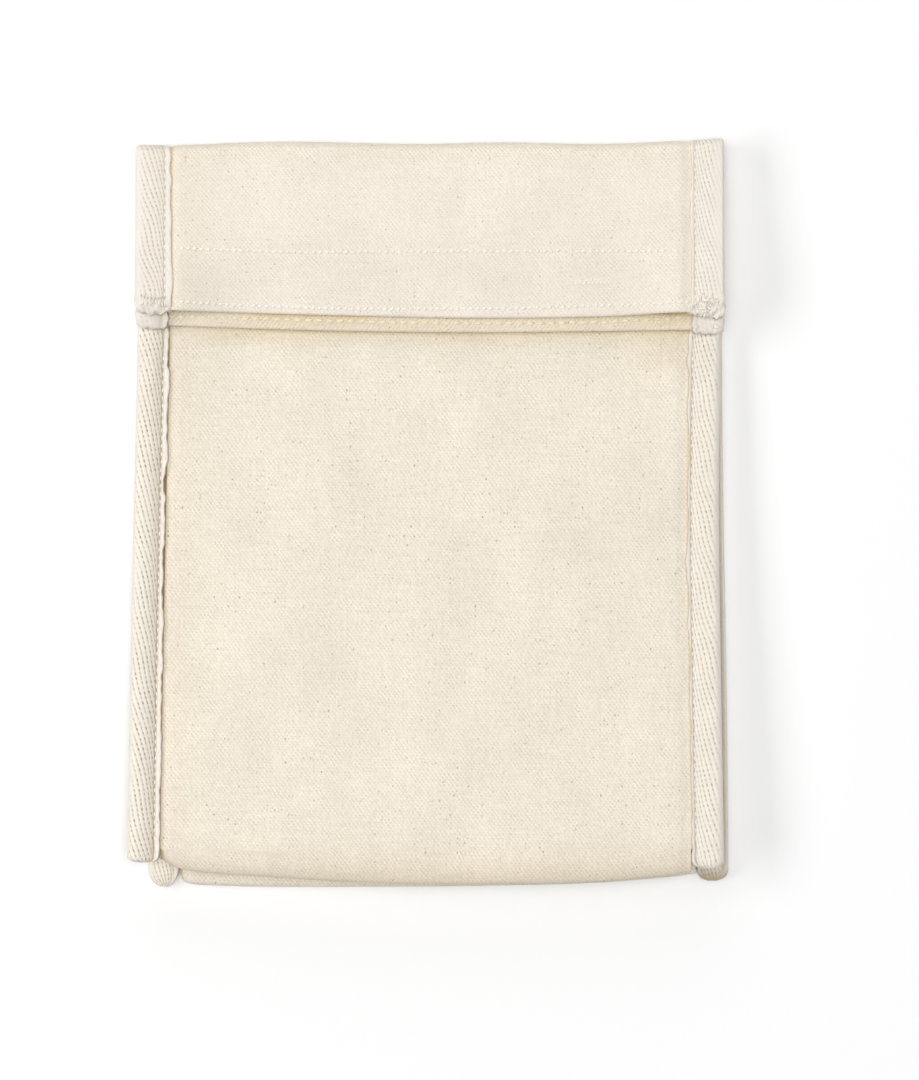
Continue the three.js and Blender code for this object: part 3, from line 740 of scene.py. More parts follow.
@dataclass(frozen=True)
class CottonTape(Finish):
    """Off-white cotton tape: a twill whose fine wales run along it, dark and pitted between them."""

    name: str = "off_white_cotton_twill_tape"
    roughness: float = 0.9
    relief: float = 0.05
    specular: float = 0.25
    sheen: float = 0.08
    yarn: str = "#ede6da"
    between: str = "#a39173"
    faded: str = "#e6dfd5"  # towards which it is washed out on the flap
    soiled: str = "#86704a"  # painted shade in its sewn line, at its inner edge, in its tacking and at its tucked ends
    wale: float = 1.85  # millimetres from wale to wale
    lean: float = 0.32  # sideways step of a wale for its step along
    pit_every: float = 1.68
    pit_slant: float = -0.12
    grain_size: tuple = (0.35, 1.4)  # across and along
    wear_size: float = 9.0
    fuzz_size: float = 1.4
    sewn: float = 14.0  # place of the sewn line across the tape, as its wales count it
    plain: float = 2.4  # the outer edge's width without visible pits

    def wale_phase(self, u: Array, v: Array) -> Array:
        """Wales counted across the tape: the place across, leaned by the place along, over the pitch."""
        return (u + self.lean * v) / self.wale

    def pit_phase(self, u: Array, v: Array) -> Array:
        """Pits counted along the tape, each wale's a little farther along than its neighbour's."""
        return self.pit_slant * u / self.wale + v / self.pit_every

    def paint(self, add: partial, mm: Socket) -> tuple[Any, Socket]:
        """Yarn that darkens between the wales, with a fine grain, and with painted shade in the sewn line,
        tacking, inner edge and tucked ends.
        """
        fine = (*(1 / size for size in self.grain_size), 1.0)
        at = add("Mapping", {"Vector": mm, "Scale": fine})
        grain = add("TexNoise", {"Vector": at, "Scale": 1.0, "Detail": 3.0})
        wear = add("TexNoise", {"Vector": mm, "Scale": 1 / self.wear_size, "Detail": 3.0})
        deep = self.gaps(add, mm)
        cloth = add("Mix", {0: deep, 6: linear(self.yarn), 7: linear(self.between)}, **COLOURS)
        fade = add("Attribute", attribute_name=FADE_NAME, out="Fac")
        paled = add("Mix", {0: fade, 6: cloth, 7: linear(self.faded)}, **COLOURS)
        mixed = add("Math", {0: grain, 1: wear}, operation="ADD")
        tone = add(
            "MapRange", {"Value": mixed, "From Min": 0.6, "From Max": 1.4, "To Min": 0.93, "To Max": 1.04}
        )
        colour = add("Mix", {0: 1.0, 6: paled, 7: tone}, blend_type="MULTIPLY", **COLOURS)
        # painted shade from the point attribute
        soil = add("Attribute", attribute_name=PAINTED_SHADE_NAME, out="Fac")
        soiled = add("Mix", {0: soil, 6: colour, 7: linear(self.soiled)}, **COLOURS)
        return soiled, grain

    def gaps(self, add: partial, mm: Socket) -> Socket:
        """How deep between its wales the tape is.

        A cosine across the wales is lowest between them, one along them digs the pits, and noise makes them
        uneven. None shows past the sewn line or at the outer edge.

        Args:
            add: The function that adds nodes.
            mm: Place on the tape.

        Returns:
            0 on a wale, towards 1 in the deepest pits.
        """
        turn = 2 * math.pi / self.wale
        runs = (
            (turn, turn * self.lean, 0.0),
            (turn * self.pit_slant, 2 * math.pi / self.pit_every, 0.0),
        )
        cosines = []
        for run in runs:
            along = add("VectorMath", {0: mm, 1: run}, operation="DOT_PRODUCT", out="Value")
            cosines.append(add("Math", {0: along}, operation="COSINE"))
        low = add(
            "MapRange",
            {"Value": cosines[0], "From Min": 0.0, "From Max": 1.0},
            interpolation_type="SMOOTHSTEP",
        )
        deep = add(
            "MapRange",
            {"Value": cosines[1], "From Min": -1.0, "From Max": 1.0, "To Min": 0.35, "To Max": 1.0},
        )
        fuzz = add("TexNoise", {"Vector": mm, "Scale": 1 / self.fuzz_size, "Detail": 3.0})
        uneven = add(
            "MapRange", {"Value": fuzz, "From Min": 0.35, "From Max": 0.65, "To Min": 0.3, "To Max": 1.2}
        )
        pits = add("Math", {0: low, 1: deep}, operation="MULTIPLY")
        shown = add("Math", {0: pits, 1: uneven}, operation="MULTIPLY")
        u = add("SeparateXYZ", {"Vector": mm})
        inset = add("Math", {0: u}, operation="ABSOLUTE")
        outer = add(
            "MapRange",
            {"Value": inset, "From Min": self.plain, "From Max": self.plain + 2.5, "To Min": 0.15},
        )
        past_sewn = {"From Min": self.sewn, "From Max": self.sewn + 0.3, "To Min": 1.0, "To Max": 0.2}
        wales = add("MapRange", {"Value": inset, **past_sewn})
        inside = add("Math", {0: outer, 1: wales}, operation="MULTIPLY")
        return add("Math", {0: shown, 1: inside}, operation="MULTIPLY")


@dataclass(frozen=True)
class SewingThread(Finish):
    """Cream cotton sewing thread: two plies twisted together, which draws fine slanting lines across it."""

    name: str = "cream_cotton_thread"
    roughness: float = 0.75
    relief: float = 0.04
    sheen: float = 0.1
    ply: str = "#fffaf0"
    between: str = "#f9f2e6"
    twist: float = 0.5  # millimetres along the thread for each ply

    def paint(self, add: partial, mm: Socket) -> tuple[Any, Socket]:
        """Slanting sine lines across the thread, darker between the plies."""
        turn = 2 * math.pi / self.twist
        along = add("VectorMath", {0: mm, 1: (turn, turn, 0.0)}, operation="DOT_PRODUCT", out="Value")
        ply = add("Math", {0: along}, operation="SINE")
        shade = add("MapRange", {"Value": ply, "From Min": -1.0, "From Max": 0.2})
        colour = add("Mix", {0: shade, 6: linear(self.between), 7: linear(self.ply)}, **COLOURS)
        return colour, ply


@dataclass(frozen=True)
class PaleBoard(Finish):
    """White matte board: an even surface with a faint tooth."""

    name: str = "white_matte_board"
    roughness: float = 0.95
    relief: float = 0.01
    specular: float = 0.1
    face: str = "#f4f4f4"
    tooth: float = 0.6  # millimetres

    def paint(self, add: partial, mm: Socket) -> tuple[Any, Socket]:
        """One pale colour, and a faint noise in its relief."""
        tooth = add("TexNoise", {"Vector": mm, "Scale": 1 / self.tooth})
        return linear(self.face), tooth


def make_mesh(
    name: str, points: Array, faces: list, uv: Array, material: Material
) -> Object:
    """Makes an object at the origin from points in millimetres.

    Args:
        name: The piece's name.
        points: Points, three numbers each.
        faces: Lists of point numbers.
        uv: For each corner of each face in turn, its place on the cloth in millimetres.
        material: The finish.

    Returns:
        The object, smooth except at its sharp edges, with its faces pointing out.
    """
    mesh = bpy.data.meshes.new(name)
    mesh.from_pydata((points * MM).tolist(), [], faces)
    layer = mesh.uv_layers.new(name=UV_NAME)
    layer.data.foreach_set("uv", (uv * MM).astype(np.float32).ravel())
    mesh.polygons.foreach_set("use_smooth", np.ones(len(mesh.polygons), bool))
    mesh.set_sharp_from_angle(angle=SHARP_TURN)
    mesh.materials.append(material)
    mesh.update()
    piece = bpy.data.objects.new(name, mesh)
    bpy.context.scene.collection.objects.link(piece)
    return piece


def volume(points: Array, faces: Array) -> float:
    """Signed volume of a closed mesh of quads: a sixth of the triple products of its triangles."""
    a, b, c, d = (points[faces[:, i]] for i in range(4))
    return float((a * (np.cross(b, c) + np.cross(c, d))).sum() / 6)


def add_values(piece: Object, name: str, values: Array) -> None:
    """Gives each of a piece's points a value, such as its painted shade."""
    layer = piece.data.attributes.new(name, "FLOAT", "POINT")
    layer.data.foreach_set("value", values.astype(np.float32))


class Rows(NamedTuple):
    """Rows of a wall: points of its outer and inner face, and the painted shade at each."""

    outer: Array
    inner: Array
    soil: Array


def wall_mesh(name: str, rows: Rows, uv: Array, material: Material) -> Object:
    """Makes a closed wall between two grids of points.

    The outer grid's quads, the inner grid's turned round, and a strip that joins the two round their rims.

    Args:
        name: The piece's name.
        rows: The wall's rows.
        uv: Rows and columns of places on the cloth.
        material: The finish.

    Returns:
        The piece.
    """
    count = rows.soil.size
    grid = np.arange(count).reshape(rows.soil.shape)
    face = np.stack([grid[:-1, :-1], grid[1:, :-1], grid[1:, 1:], grid[:-1, 1:]], axis=-1).reshape(-1, 4)
    rim = np.concatenate([grid[0, :], grid[1:, -1], grid[-1, -2::-1], grid[-2:0:-1, 0]])
    following = np.roll(rim, -1)
    strip = np.stack([rim, following, following + count, rim + count], axis=-1)
    faces = np.concatenate([face, face[:, ::-1] + count, strip])
    points = np.concatenate([rows.outer.reshape(-1, 3), rows.inner.reshape(-1, 3)])
    if volume(points, faces) < 0:
        faces = faces[:, ::-1]
    flat = np.concatenate([uv.reshape(-1, 2)] * 2)
    piece = make_mesh(name, points, faces.tolist(), flat[faces.ravel()], material)
    add_values(piece, PAINTED_SHADE_NAME, np.tile(rows.soil.ravel(), 2))
    return piece


def dressed(piece: Object, node: str | None = None) -> Object:
    """Puts a piece on the bag's one body, hides the node that it stands for, and logs its faces."""
    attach(piece, "root")
    if node:
        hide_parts(node)
    LOG.info("%s: %d faces", piece.name, len(piece.data.polygons))
    return piece


@dataclass
class CanvasBody:
    """The main length of canvas, from lip to lip: down the front, under the tucked bottom, up the back."""

    shape: BagShape
    front_fold: float = 3.2  # radius at the middle of the wall
    front_reach: float = 7.5  # the front fold is drawn out along the bag as far as this where it has room
    back_fold: float = 2.0
    tuck_top: float = -75.0  # the crease of the tucked bottom
    tuck_height: float = 7.8
    tuck_radius: float = 1.75
    tuck_side: float = 2.0
    run_straight: float = 0.15  # share of each flat run before it narrows
    narrow_edge: float = 1.2  # the thin edge of the strip where it has left its seams
    corner: float = 3.0  # radius of the back fold's left end
    field_columns: int = 125
    front_rows: int = 190
    back_rows: int = 40
    flap_rows: int = 56
    flap_beat: float = 1.14  # how much closer the weft lies on the flap
    flap_painted_light: float = 0.22  # how far the flap is paled and its weave made fainter: painted light
    hidden_rows: int = 14
    turn_rows: int = 12
    run_rows: int = 6
    wrinkle: float = 0.125  # height of the soft waves over the front and the flap
    wrinkle_span: float = 46.0
    wrinkle_from: float = 14.0  # distance from the seams where they are at their full height
    fine_wrinkle: float = 0.5  # shares of their height and span that the finer waves on them have
    fine_span: float = 0.45
    pucker: float = 0.1  # height of the ripples beside the seams
    pucker_span: float = 7.0
    pucker_rise: tuple = (0.2, 2.5)  # distances from the seams over which they set in and die out
    pucker_fall: tuple = (3.0, 12.0)
    relief_fade: tuple = (62.0, 72.0)  # Y over which the front's relief dies out under the flap
    stitch_groove: float = 0.12  # how far a line of stitching sinks in, and over what width
    groove_width: float = 1.1
    seam_soil_width: float = 0.3  # painted shade: how wide and how dark it is in the crack by its seams, under its lips and between them
    beside_soil: tuple = (0.07, 0.0)  # painted shade beside the seams, at the left and at the right: it darkens the left side, whose slope the light brightens
    beside_soil_width: float = 12.0
    # painted shade on the front under the lips
    lip_soil: float = 0.14
    lip_soil_width: float = 4.0
    # painted shadow along the edges of the lips
    lip_line_soil: float = 0.4
    lip_line_width: float = 0.9
    line_seed: int = 31  # the line's painted shadow comes and goes over this span
    line_span: float = 16.0
    bottom_soil: float = 0.3  # painted shade under the front fold of the bottom, and on the front over it
    bottom_soil_turn: tuple = (1.2, 2.0)  # angles round that fold over which the painted shade sets in
    # painted shade on the front towards the bottom fold
    foot_soil: float = 0.14
    foot_soil_from: float = -110.0
    foot_soil_full: float = -128.0
    # painted shade at the left end of the bottom folds, beside the tape's foot
    corner_soil: float = 0.7
    corner_soil_width: float = 0.9
    lip_stitch_below: float = 1.8  # from the upper lip to the stitches on the lower one

    def __post_init__(self) -> None:
        """Works out the columns across the field, closer beside the seams, and the stitching lines."""
        spread = 1.42
        even = np.linspace(-1, 1, self.field_columns)
        self.u = np.sin(spread * even) / math.sin(spread)
        self.stitch_lines = {name: Curve(FLAP_STITCHING, "x", name) for name in ("upper", "lower")}

    def columns(self, left: Array, right: Array, seam: float) -> Array:
        """X of every column between two edges, with two columns in the seam's width inside each edge."""
        middle, half = (left + right) / 2, (right - left) / 2 - seam
        return np.concatenate(
            [left, left + seam / 2, middle + half * self.u, right - seam / 2, right], axis=1
        )

    def seamed(self, layer: Layer, stations: Stations) -> Array:
        """X of every column where the canvas runs into its bound seams."""
        shape = self.shape
        left = shape.seam_edge(layer, LEFT, stations) + shape.edge_inset
        right = shape.seam_edge(layer, RIGHT, stations) - shape.edge_inset
        return self.columns(left, right, shape.tape_reach - shape.edge_inset)

    def narrow(self, layer: Layer, share: Array) -> Array:
        """X of every column below the seams: a share of the way from the tapes to the tucked crease."""
        shape = self.shape
        clear = shape.tape_reach + 2 * shape.gap
        end = shape.seam_end(layer)
        share = share[:, None]
        left = lerp(shape.edges[layer, LEFT](end) + clear, shape.crease_left + self.tuck_side, share)
        right = lerp(shape.edges[layer, RIGHT](end) - clear, shape.crease_right - self.tuck_side, share)
        return self.columns(left, right, self.narrow_edge)

    def relief(self, layer: Layer, stations: Stations, x: Array) -> Array:
        """Fine relief of a panel's outside: waves in its field, ripples beside its seams, sunk stitching.

        Args:
            layer: The panel.
            stations: Places along the bag.
            x: Places across it.

        Returns:
            Height over the panel's plain face: none where the panel lies on the floor or under the flap.
        """
        shape = self.shape
        u, inside = shape.across(layer, stations, x)
        y = shape.place(stations, x, layer)
        seed = list(Layer).index(layer) * 10
        span = self.wrinkle_span
        fine = self.fine_wrinkle * waves(x, y, seed + 1, self.fine_span * span)
        soft = self.wrinkle * (waves(x, y, seed, span) + fine)
        sides = [waves(0 * x, y, seed + 2 + i, self.pucker_span) for i in range(2)]
        beside = smooth(inside, *self.pucker_rise) * (1 - smooth(inside, *self.pucker_fall))
        rippled = self.pucker * beside * np.where(u < 0, *sides)
        relief = smooth(inside, 0, self.wrinkle_from) * soft + rippled
        if layer is FRONT:
            return relief * (stations.share == 0) * (1 - smooth(y, *self.relief_fade))
        sewn = sum(bell(y - line(x), self.groove_width) for line in self.stitch_lines.values())
        relief = relief - self.stitch_groove * sewn * smooth(inside, 0, 2) - dented(FLAP_DENTS, x, y)
        return relief * (stations.share > 0)

    def soil(self, layer: Layer, stations: Stations, x: Array) -> Array:
        """Painted shade on a panel: in the crack beside its seams, and on the front under and between the
        lips.
        """
        shape = self.shape
        u, inside = shape.across(layer, stations, x)
        tapes = [TAPES[layer, side] for side in Side]
        spread = np.where(u < 0, *(tape.spread for tape in tapes)) * (stations.turn > 0)
        crease = np.where(u < 0, *(tape.crease for tape in tapes))
        beside = np.where(u < 0, *self.beside_soil) * bell(inside, self.beside_soil_width)
        # painted shadow in the crack beside each seam, and painted shade beside the left seam
        seam = np.maximum(crease * bell(inside - spread, self.seam_soil_width), beside)
        if layer is BACK:
            return seam + 0 * x
        y = shape.place(stations, x, layer)
        below = np.maximum(shape.lips[FRONT](x) - y, 0)
        under = self.lip_soil * bell(below, self.lip_soil_width)
        from_line = np.where(stations.share > 0, y - shape.lips[BACK](x), below)
        uneven = np.clip(0.6 + 0.5 * waves(x, 0 * y, self.line_seed, self.line_span), 0, 1.4)
        strength = uneven * np.where(stations.share > 0, 1.0, 0.6)
        line = self.lip_line_soil * strength * bell(from_line, self.lip_line_width)
        patch_shade = dented(SHADE_PATCHES, x, y) * (stations.share == 0)
        return np.maximum(seam, under + line + patch_shade + self.foot_soiled(y))

    def foot_soiled(self, y: Array) -> Array:
        """Painted shade on the front towards the bottom, where it turns down into its fold."""
        return self.foot_soil * (1 - smooth(y, self.foot_soil_full, self.foot_soil_from))

    def panel(self, layer: Layer, stations: Stations, x: Array) -> Rows:
        """Rows of a panel, folded.

        Args:
            layer: The panel.
            stations: Places along the bag.
            x: Places across it.

        Returns:
            The rows.
        """
        low, high = self.shape.panel_heights(layer, stations, x)
        relief = self.relief(layer, stations, x)
        outer, inner = (high + relief, low) if layer is FRONT else (low - relief, high)
        faces = [self.shape.folded(stations, x, h, layer) for h in (outer, inner)]
        return Rows(*faces, self.soil(layer, stations, x))

    def seamed_rows(self, layer: Layer, stations: Stations) -> Rows:
        """Rows that run into the bound seams."""
        return self.panel(layer, stations, self.seamed(layer, stations))

    def beside_rows(self, layer: Layer, shares: Array) -> Rows:
        """Rows between the seams' ends and a bottom fold, clear of the tapes."""
        x = self.narrow(layer, 0 * shares)
        y = lerp(self.shape.seam_end(layer), self.fold_axis(layer, x)[0], shares[:, None])
        return self.panel(layer, Stations.on_body(y), x)

    def fold_reach(self, layer: Layer, x: Array) -> Array:
        """How far along the bag a bottom fold reaches from its axis to the middle of its wall."""
        if layer is BACK:
            return np.full_like(x, self.back_fold)
        room = self.shape.seam_end(layer) - self.shape.bottom[layer](x) - self.shape.wall
        return np.clip(room, self.front_fold, self.front_reach)

    def fold_axis(self, layer: Layer, x: Array) -> tuple[Array, Array]:
        """Y and Z of the axis that a bottom fold turns about."""
        shape = self.shape
        radius = self.front_fold if layer is FRONT else self.back_fold
        y = shape.bottom[layer](x) + self.fold_reach(layer, x) + shape.wall / 2
        if layer is BACK:
            from_corner = 1 - np.clip((x - x[:, :1]) / self.corner, 0, 1)
            y = y + self.corner * (1 - np.sqrt(1 - from_corner**2))
            return y, np.full_like(y, shape.wall / 2 + radius)
        low, high = shape.panel_heights(layer, Stations.on_body(y), x)
        return y, (low + high) / 2 - radius

    def bottom_fold(self, layer: Layer, turn: Array, x: Array) -> Array:
        """Section of a bottom fold: half an ellipse about its axis, with the outside's direction."""
        radius = self.front_fold if layer is FRONT else self.back_fold
        y, z = self.fold_axis(layer, x)
        out_y, out_z = -np.sin(turn), np.cos(turn)
        along = y + self.fold_reach(layer, x) * out_y
        return stacked(along, z + radius * out_z, out_y, out_z)

    def tuck(self, turn: Array, x: Array) -> Array:
        """Section of the tucked bottom's crease: a half turn whose outside is its hollow side."""
        out_y, out_z = -np.sin(turn), -np.cos(turn)
        y = self.tuck_top - self.tuck_radius - self.tuck_radius * out_y
        z = self.tuck_height - self.tuck_radius * out_z
        return stacked(y + 0 * x, z, out_y, out_z)

    def run(self, start: Array, end: Array, share: Array) -> Array:
        """Section a share of the way between two others, with its outside turned by the run's own slope."""
        step = end[..., :2] - start[..., :2]
        length = np.linalg.norm(step, axis=-1)
        middle = lerp(start[..., :2], end[..., :2], share[:, None, None])
        out = np.stack([step[..., 1] / length, -step[..., 0] / length], axis=-1)
        return np.concatenate([middle, out], axis=-1)

    def walled(self, x: Array, section: Array) -> Rows:
        """Rows of a section: half the wall to each side of its middle, with painted shade at its left end.
        """
        shape = self.shape
        half = (x[:, -1:] - x[:, :1]) / 2
        middle = (x[:, -1:] + x[:, :1]) / 2
        swell = smooth(half - np.abs(x - middle) - self.narrow_edge, 0, shape.seam_fade)
        offset = section[..., 2:] * lerp(shape.seam_wall, shape.wall, swell)[..., None] / 2
        faces = [section[..., :2] + sign * offset for sign in (1, -1)]
        soil = self.corner_soil * bell(x - x[:, :1], self.corner_soil_width)
        return Rows(*(np.concatenate([x[..., None], face], axis=-1) for face in faces), soil)

    def bottom_rows(self) -> list[Rows]:
        """Rows of the tucked bottom: round the front fold, in to its crease, and round the back fold."""
        turn = np.linspace(0, math.pi, self.turn_rows)[:, None]
        share = np.linspace(0, 1, self.run_rows + 2)[1:-1]
        narrowing = smooth(share, self.run_straight, 1)
        none, whole = np.zeros((self.run_rows, 1)), np.full((self.run_rows, 1), math.pi)
        front, back = (self.narrow(layer, np.zeros(self.turn_rows)) for layer in Layer)
        crease = self.narrow(FRONT, np.ones(self.turn_rows))
        inward, outward = self.narrow(FRONT, narrowing), self.narrow(BACK, narrowing[::-1])
        from_front = self.bottom_fold(FRONT, whole, inward)
        to_back = self.bottom_fold(BACK, none, outward)
        fold = self.walled(front, self.bottom_fold(FRONT, turn, front))
        # painted shade round the underside of the front fold
        turned = smooth(turn, *self.bottom_soil_turn)
        under = lerp(self.foot_soiled(fold.outer[..., 1]), self.bottom_soil, turned)
        return [
            fold._replace(soil=np.maximum(fold.soil, under)),
            self.walled(inward, self.run(from_front, self.tuck(none, inward), share)),
            self.walled(crease, self.tuck(turn, crease)),
            self.walled(outward, self.run(self.tuck(whole, outward), to_back, share)),
            self.walled(back, self.bottom_fold(BACK, turn, back)),
        ]

    def flap_point(self, layer: Layer, x: Array, y: Array) -> Array:
        """Points on the face of a panel's flap that looks up, at places on it."""
        shape = self.shape
        start = shape.fold_start(x)
        share = (start - y) / (start - shape.lips[layer](x))
        rows = self.panel(layer, Stations.on_flap(share[:, None]), x[:, None])
        return (rows.outer if layer is BACK else rows.inner)[:, 0]

    def sewing(self) -> dict[str, Array]:
        """Lines of sewing across the flap, by name: points that each passes from left to right."""
        edge = self.shape.edges[BACK, LEFT](PAST_FOLD) + self.shape.tape_reach
        x = np.linspace(edge, -edge, 400)
        lines = {
            f"flap_stitching_{name}": self.flap_point(BACK, x, line(x))
            for name, line in self.stitch_lines.items()
        }
        between = self.shape.lips[BACK](x) - self.lip_stitch_below
        return {**lines, "lip_stitching": self.flap_point(FRONT, x, between)}

    def build(self, material: Material) -> Object:
        """Builds the strip row by row, from the front lip to the back lip.

        Args:
            material: The canvas.

        Returns:
            The piece.
        """
        shape = self.shape
        bend = np.linspace(0, math.pi, self.turn_rows)
        hem = 1 - np.array([0.4, 0.2, 0.08, 0.0]) * shape.lip_round / FLAP_LENGTH
        counts = (self.hidden_rows, self.flap_rows)
        shares = [np.concatenate([np.linspace(0, 0.985, count)[1:], hem]) for count in counts]
        below = np.array([0.15, 0.4, 0.7])
        down = np.linspace(BODY_TOP, shape.seam_end_front, self.front_rows)
        up = np.linspace(shape.seam_end_back, BODY_TOP, self.back_rows)
        parts = [
            self.seamed_rows(FRONT, Stations.on_flap(shares[0][::-1])),
            self.seamed_rows(FRONT, Stations.round_bend(bend[::-1])),
            self.seamed_rows(FRONT, Stations.on_body(down)),
            self.beside_rows(FRONT, below),
            *self.bottom_rows(),
            self.beside_rows(BACK, below[::-1]),
            self.seamed_rows(BACK, Stations.on_body(up)),
            self.seamed_rows(BACK, Stations.round_bend(bend)),
            self.seamed_rows(BACK, Stations.on_flap(shares[1])),
        ]
        rows = Rows(*(np.concatenate(column) for column in zip(*parts)))
        step = np.linalg.norm(np.diff(rows.outer, axis=0), axis=-1)
        middle = slice(step.shape[1] // 4, -(step.shape[1] // 4))
        along = step[:, middle].mean(axis=1)
        on_flap = smooth(np.arange(len(rows.soil)), *(len(rows.soil) - self.flap_rows + np.array([-6, 2])))
        threads = np.concatenate([[0], np.cumsum(along * lerp(1, self.flap_beat, on_flap[1:]))])[:, None]
        uv = stacked(rows.outer[..., 0], -threads)
        piece = wall_mesh("canvas_panels", rows, uv, material)
        add_values(piece, FADE_NAME, np.tile(np.repeat(self.flap_painted_light * on_flap, rows.soil.shape[1]), 2))
        self.length = float(along.sum())
        self.width = float(np.ptp(rows.outer[..., 0]))
        return dressed(piece, "canvas_body")


@dataclass
class Gusset:
    """A side gusset: a sheet creased along its middle and tucked in between the panels."""

    shape: BagShape
    side: Side
    foot: float = -66.0  # Y of the slanting lower end at the crease
    spread: float = 30.0  # Y below which the sections spread to follow the slant
    flat_radius: float = 1.25  # of the crease, at the top and at the bottom
    wide_radius: float = 2.6
    wide_height: float = 8.3
    flap_share: float = 0.8  # it stops short of the lips
    flap_rows: int = 12
    bend_rows: int = 10
    body_rows: int = 90
    seam_points: int = 4
    arc_points: int = 13
    run_points: int = 9

    @property
    def crease(self) -> float:
        """X of the crease."""
        return self.shape.crease_left if self.side is LEFT else self.shape.crease_right

    def path(self, stations: Stations) -> Array:
        """The sheet's section at each station, from its front edge to its crease and out to its back edge.

        Straight from the seam into the field and to the crease, round it in a half turn, and back.

        Args:
            stations: Places along the bag.

        Returns:
            For each station and point: X, height, wall, and the share of the way from front to back.
        """
        shape, inward = self.shape, self.side.inward
        front = shape.seam_edge(FRONT, self.side, stations) + inward * shape.edge_inset
        back = shape.seam_edge(BACK, self.side, stations) + inward * shape.edge_inset
        seam = inward * (shape.tape_reach - shape.edge_inset)
        base = shape.seam_base(FRONT, stations)
        front_seam = base + shape.leaf + shape.seam_wall / 2
        back_seam = 2 * shape.leaf + shape.seam_wall / 2
        front_field = base + shape.leaf + shape.seam_wall - shape.wall / 2 - shape.gap / 2
        back_field = 2 * shape.leaf + shape.wall / 2 + shape.gap / 2
        opened = (base - shape.front_base) / shape.wedge_rise
        radius = lerp(self.flat_radius, self.wide_radius, opened)
        middle = lerp((front_field + back_field) / 2, self.wide_height, opened)
        turn = self.crease - inward * radius
        fade = inward * shape.seam_fade
        angle = np.linspace(math.pi / 2, -math.pi / 2, self.arc_points)[None, :]
        run = smooth(np.linspace(0, 1, self.run_points)[None, :], 0, 1)
        steps = np.linspace(0, 1, self.seam_points)[None, :]
        round_x, round_h = turn + inward * radius * np.cos(angle), middle + radius * np.sin(angle)
        to_crease = lerp(front + seam + fade, turn, run), lerp(front_field, middle + radius, run)
        from_crease = lerp(turn, back + seam + fade, run), lerp(middle - radius, back_field, run)
        stretches = [  # X, height, wall, and share of the way to the back
            (front + seam * steps, front_seam, shape.seam_wall, 0.0),
            (*to_crease, shape.wall, 0.0),
            (round_x, round_h, shape.wall, 0.5 - angle / math.pi),
            (*from_crease, shape.wall, 1.0),
            (back + seam * steps[:, ::-1], back_seam, shape.seam_wall, 1.0),
        ]
        joined = [stacked(*stretch) for stretch in stretches]
        first = self.seam_points + self.run_points
        return np.delete(np.concatenate(joined, axis=1), [first, first + self.arc_points], axis=1)

    def spread_stations(self, stations: Stations, path: Array) -> Stations:
        """Body stations moved up in proportion, so that the last one follows the slanting foot."""
        shape = self.shape
        x, back = path[..., 0], path[..., 3]
        end = lerp(shape.seam_end_front, shape.seam_end_back, back)
        layers = [shape.edges[layer, self.side](end) for layer in (FRONT, BACK)]
        seam = np.where(back > 0.5, layers[1], layers[0]) + self.side.inward * shape.tape_reach
        foot = lerp(end, self.foot, np.clip((x - seam) / (self.crease - seam), 0, 1))
        share = (stations.y - self.spread) / (shape.seam_end_front - self.spread)
        moved = lerp(self.spread, foot, share)
        y = np.where(stations.y < self.spread, moved, stations.y)
        return Stations(y, stations.turn + 0 * y, stations.share + 0 * y)

    def build(self, material: Material) -> Object:
        """Builds the sheet from its slanting foot over the fold to the flap.

        Args:
            material: The canvas.

        Returns:
            The piece.
        """
        stations = Stations.joined(
            Stations.on_flap(np.linspace(self.flap_share, 0.05, self.flap_rows)),
            Stations.round_bend(np.linspace(math.pi, 0, self.bend_rows)),
            Stations.on_body(np.linspace(BODY_TOP, self.shape.seam_end_front, self.body_rows)),
        )
        path = self.path(stations)
        moved = self.spread_stations(stations, path)
        step = np.gradient(path[..., :2], axis=1)
        step /= np.linalg.norm(step, axis=-1, keepdims=True)
        half = path[..., 2] / 2
        back = path[..., 3] > 0.5
        faces = []
        for sign in (1, -1):
            x = path[..., 0] - sign * step[..., 1] * half
            h = path[..., 1] + sign * step[..., 0] * half
            front_points = self.shape.folded(moved, x, h, FRONT)
            back_points = self.shape.folded(moved, x, h, BACK)
            faces.append(np.where(back[..., None], back_points, front_points))
        across, along = walked(path[..., :2], axis=1), walked(faces[0])
        uv = np.stack([across, -along], axis=-1)
        piece = wall_mesh(f"gusset_sheet_{self.side.value}", Rows(*faces, 0 * across), uv, material)
        self.width = float(across[:, -1].mean())
        self.length = float(along[-1].max())
        steps = np.linalg.norm(np.gradient(faces[0], axis=0), axis=-1)
        self.area = float((steps * np.gradient(across, axis=1)).sum())
        return dressed(piece, f"gusset_{self.side.value}")


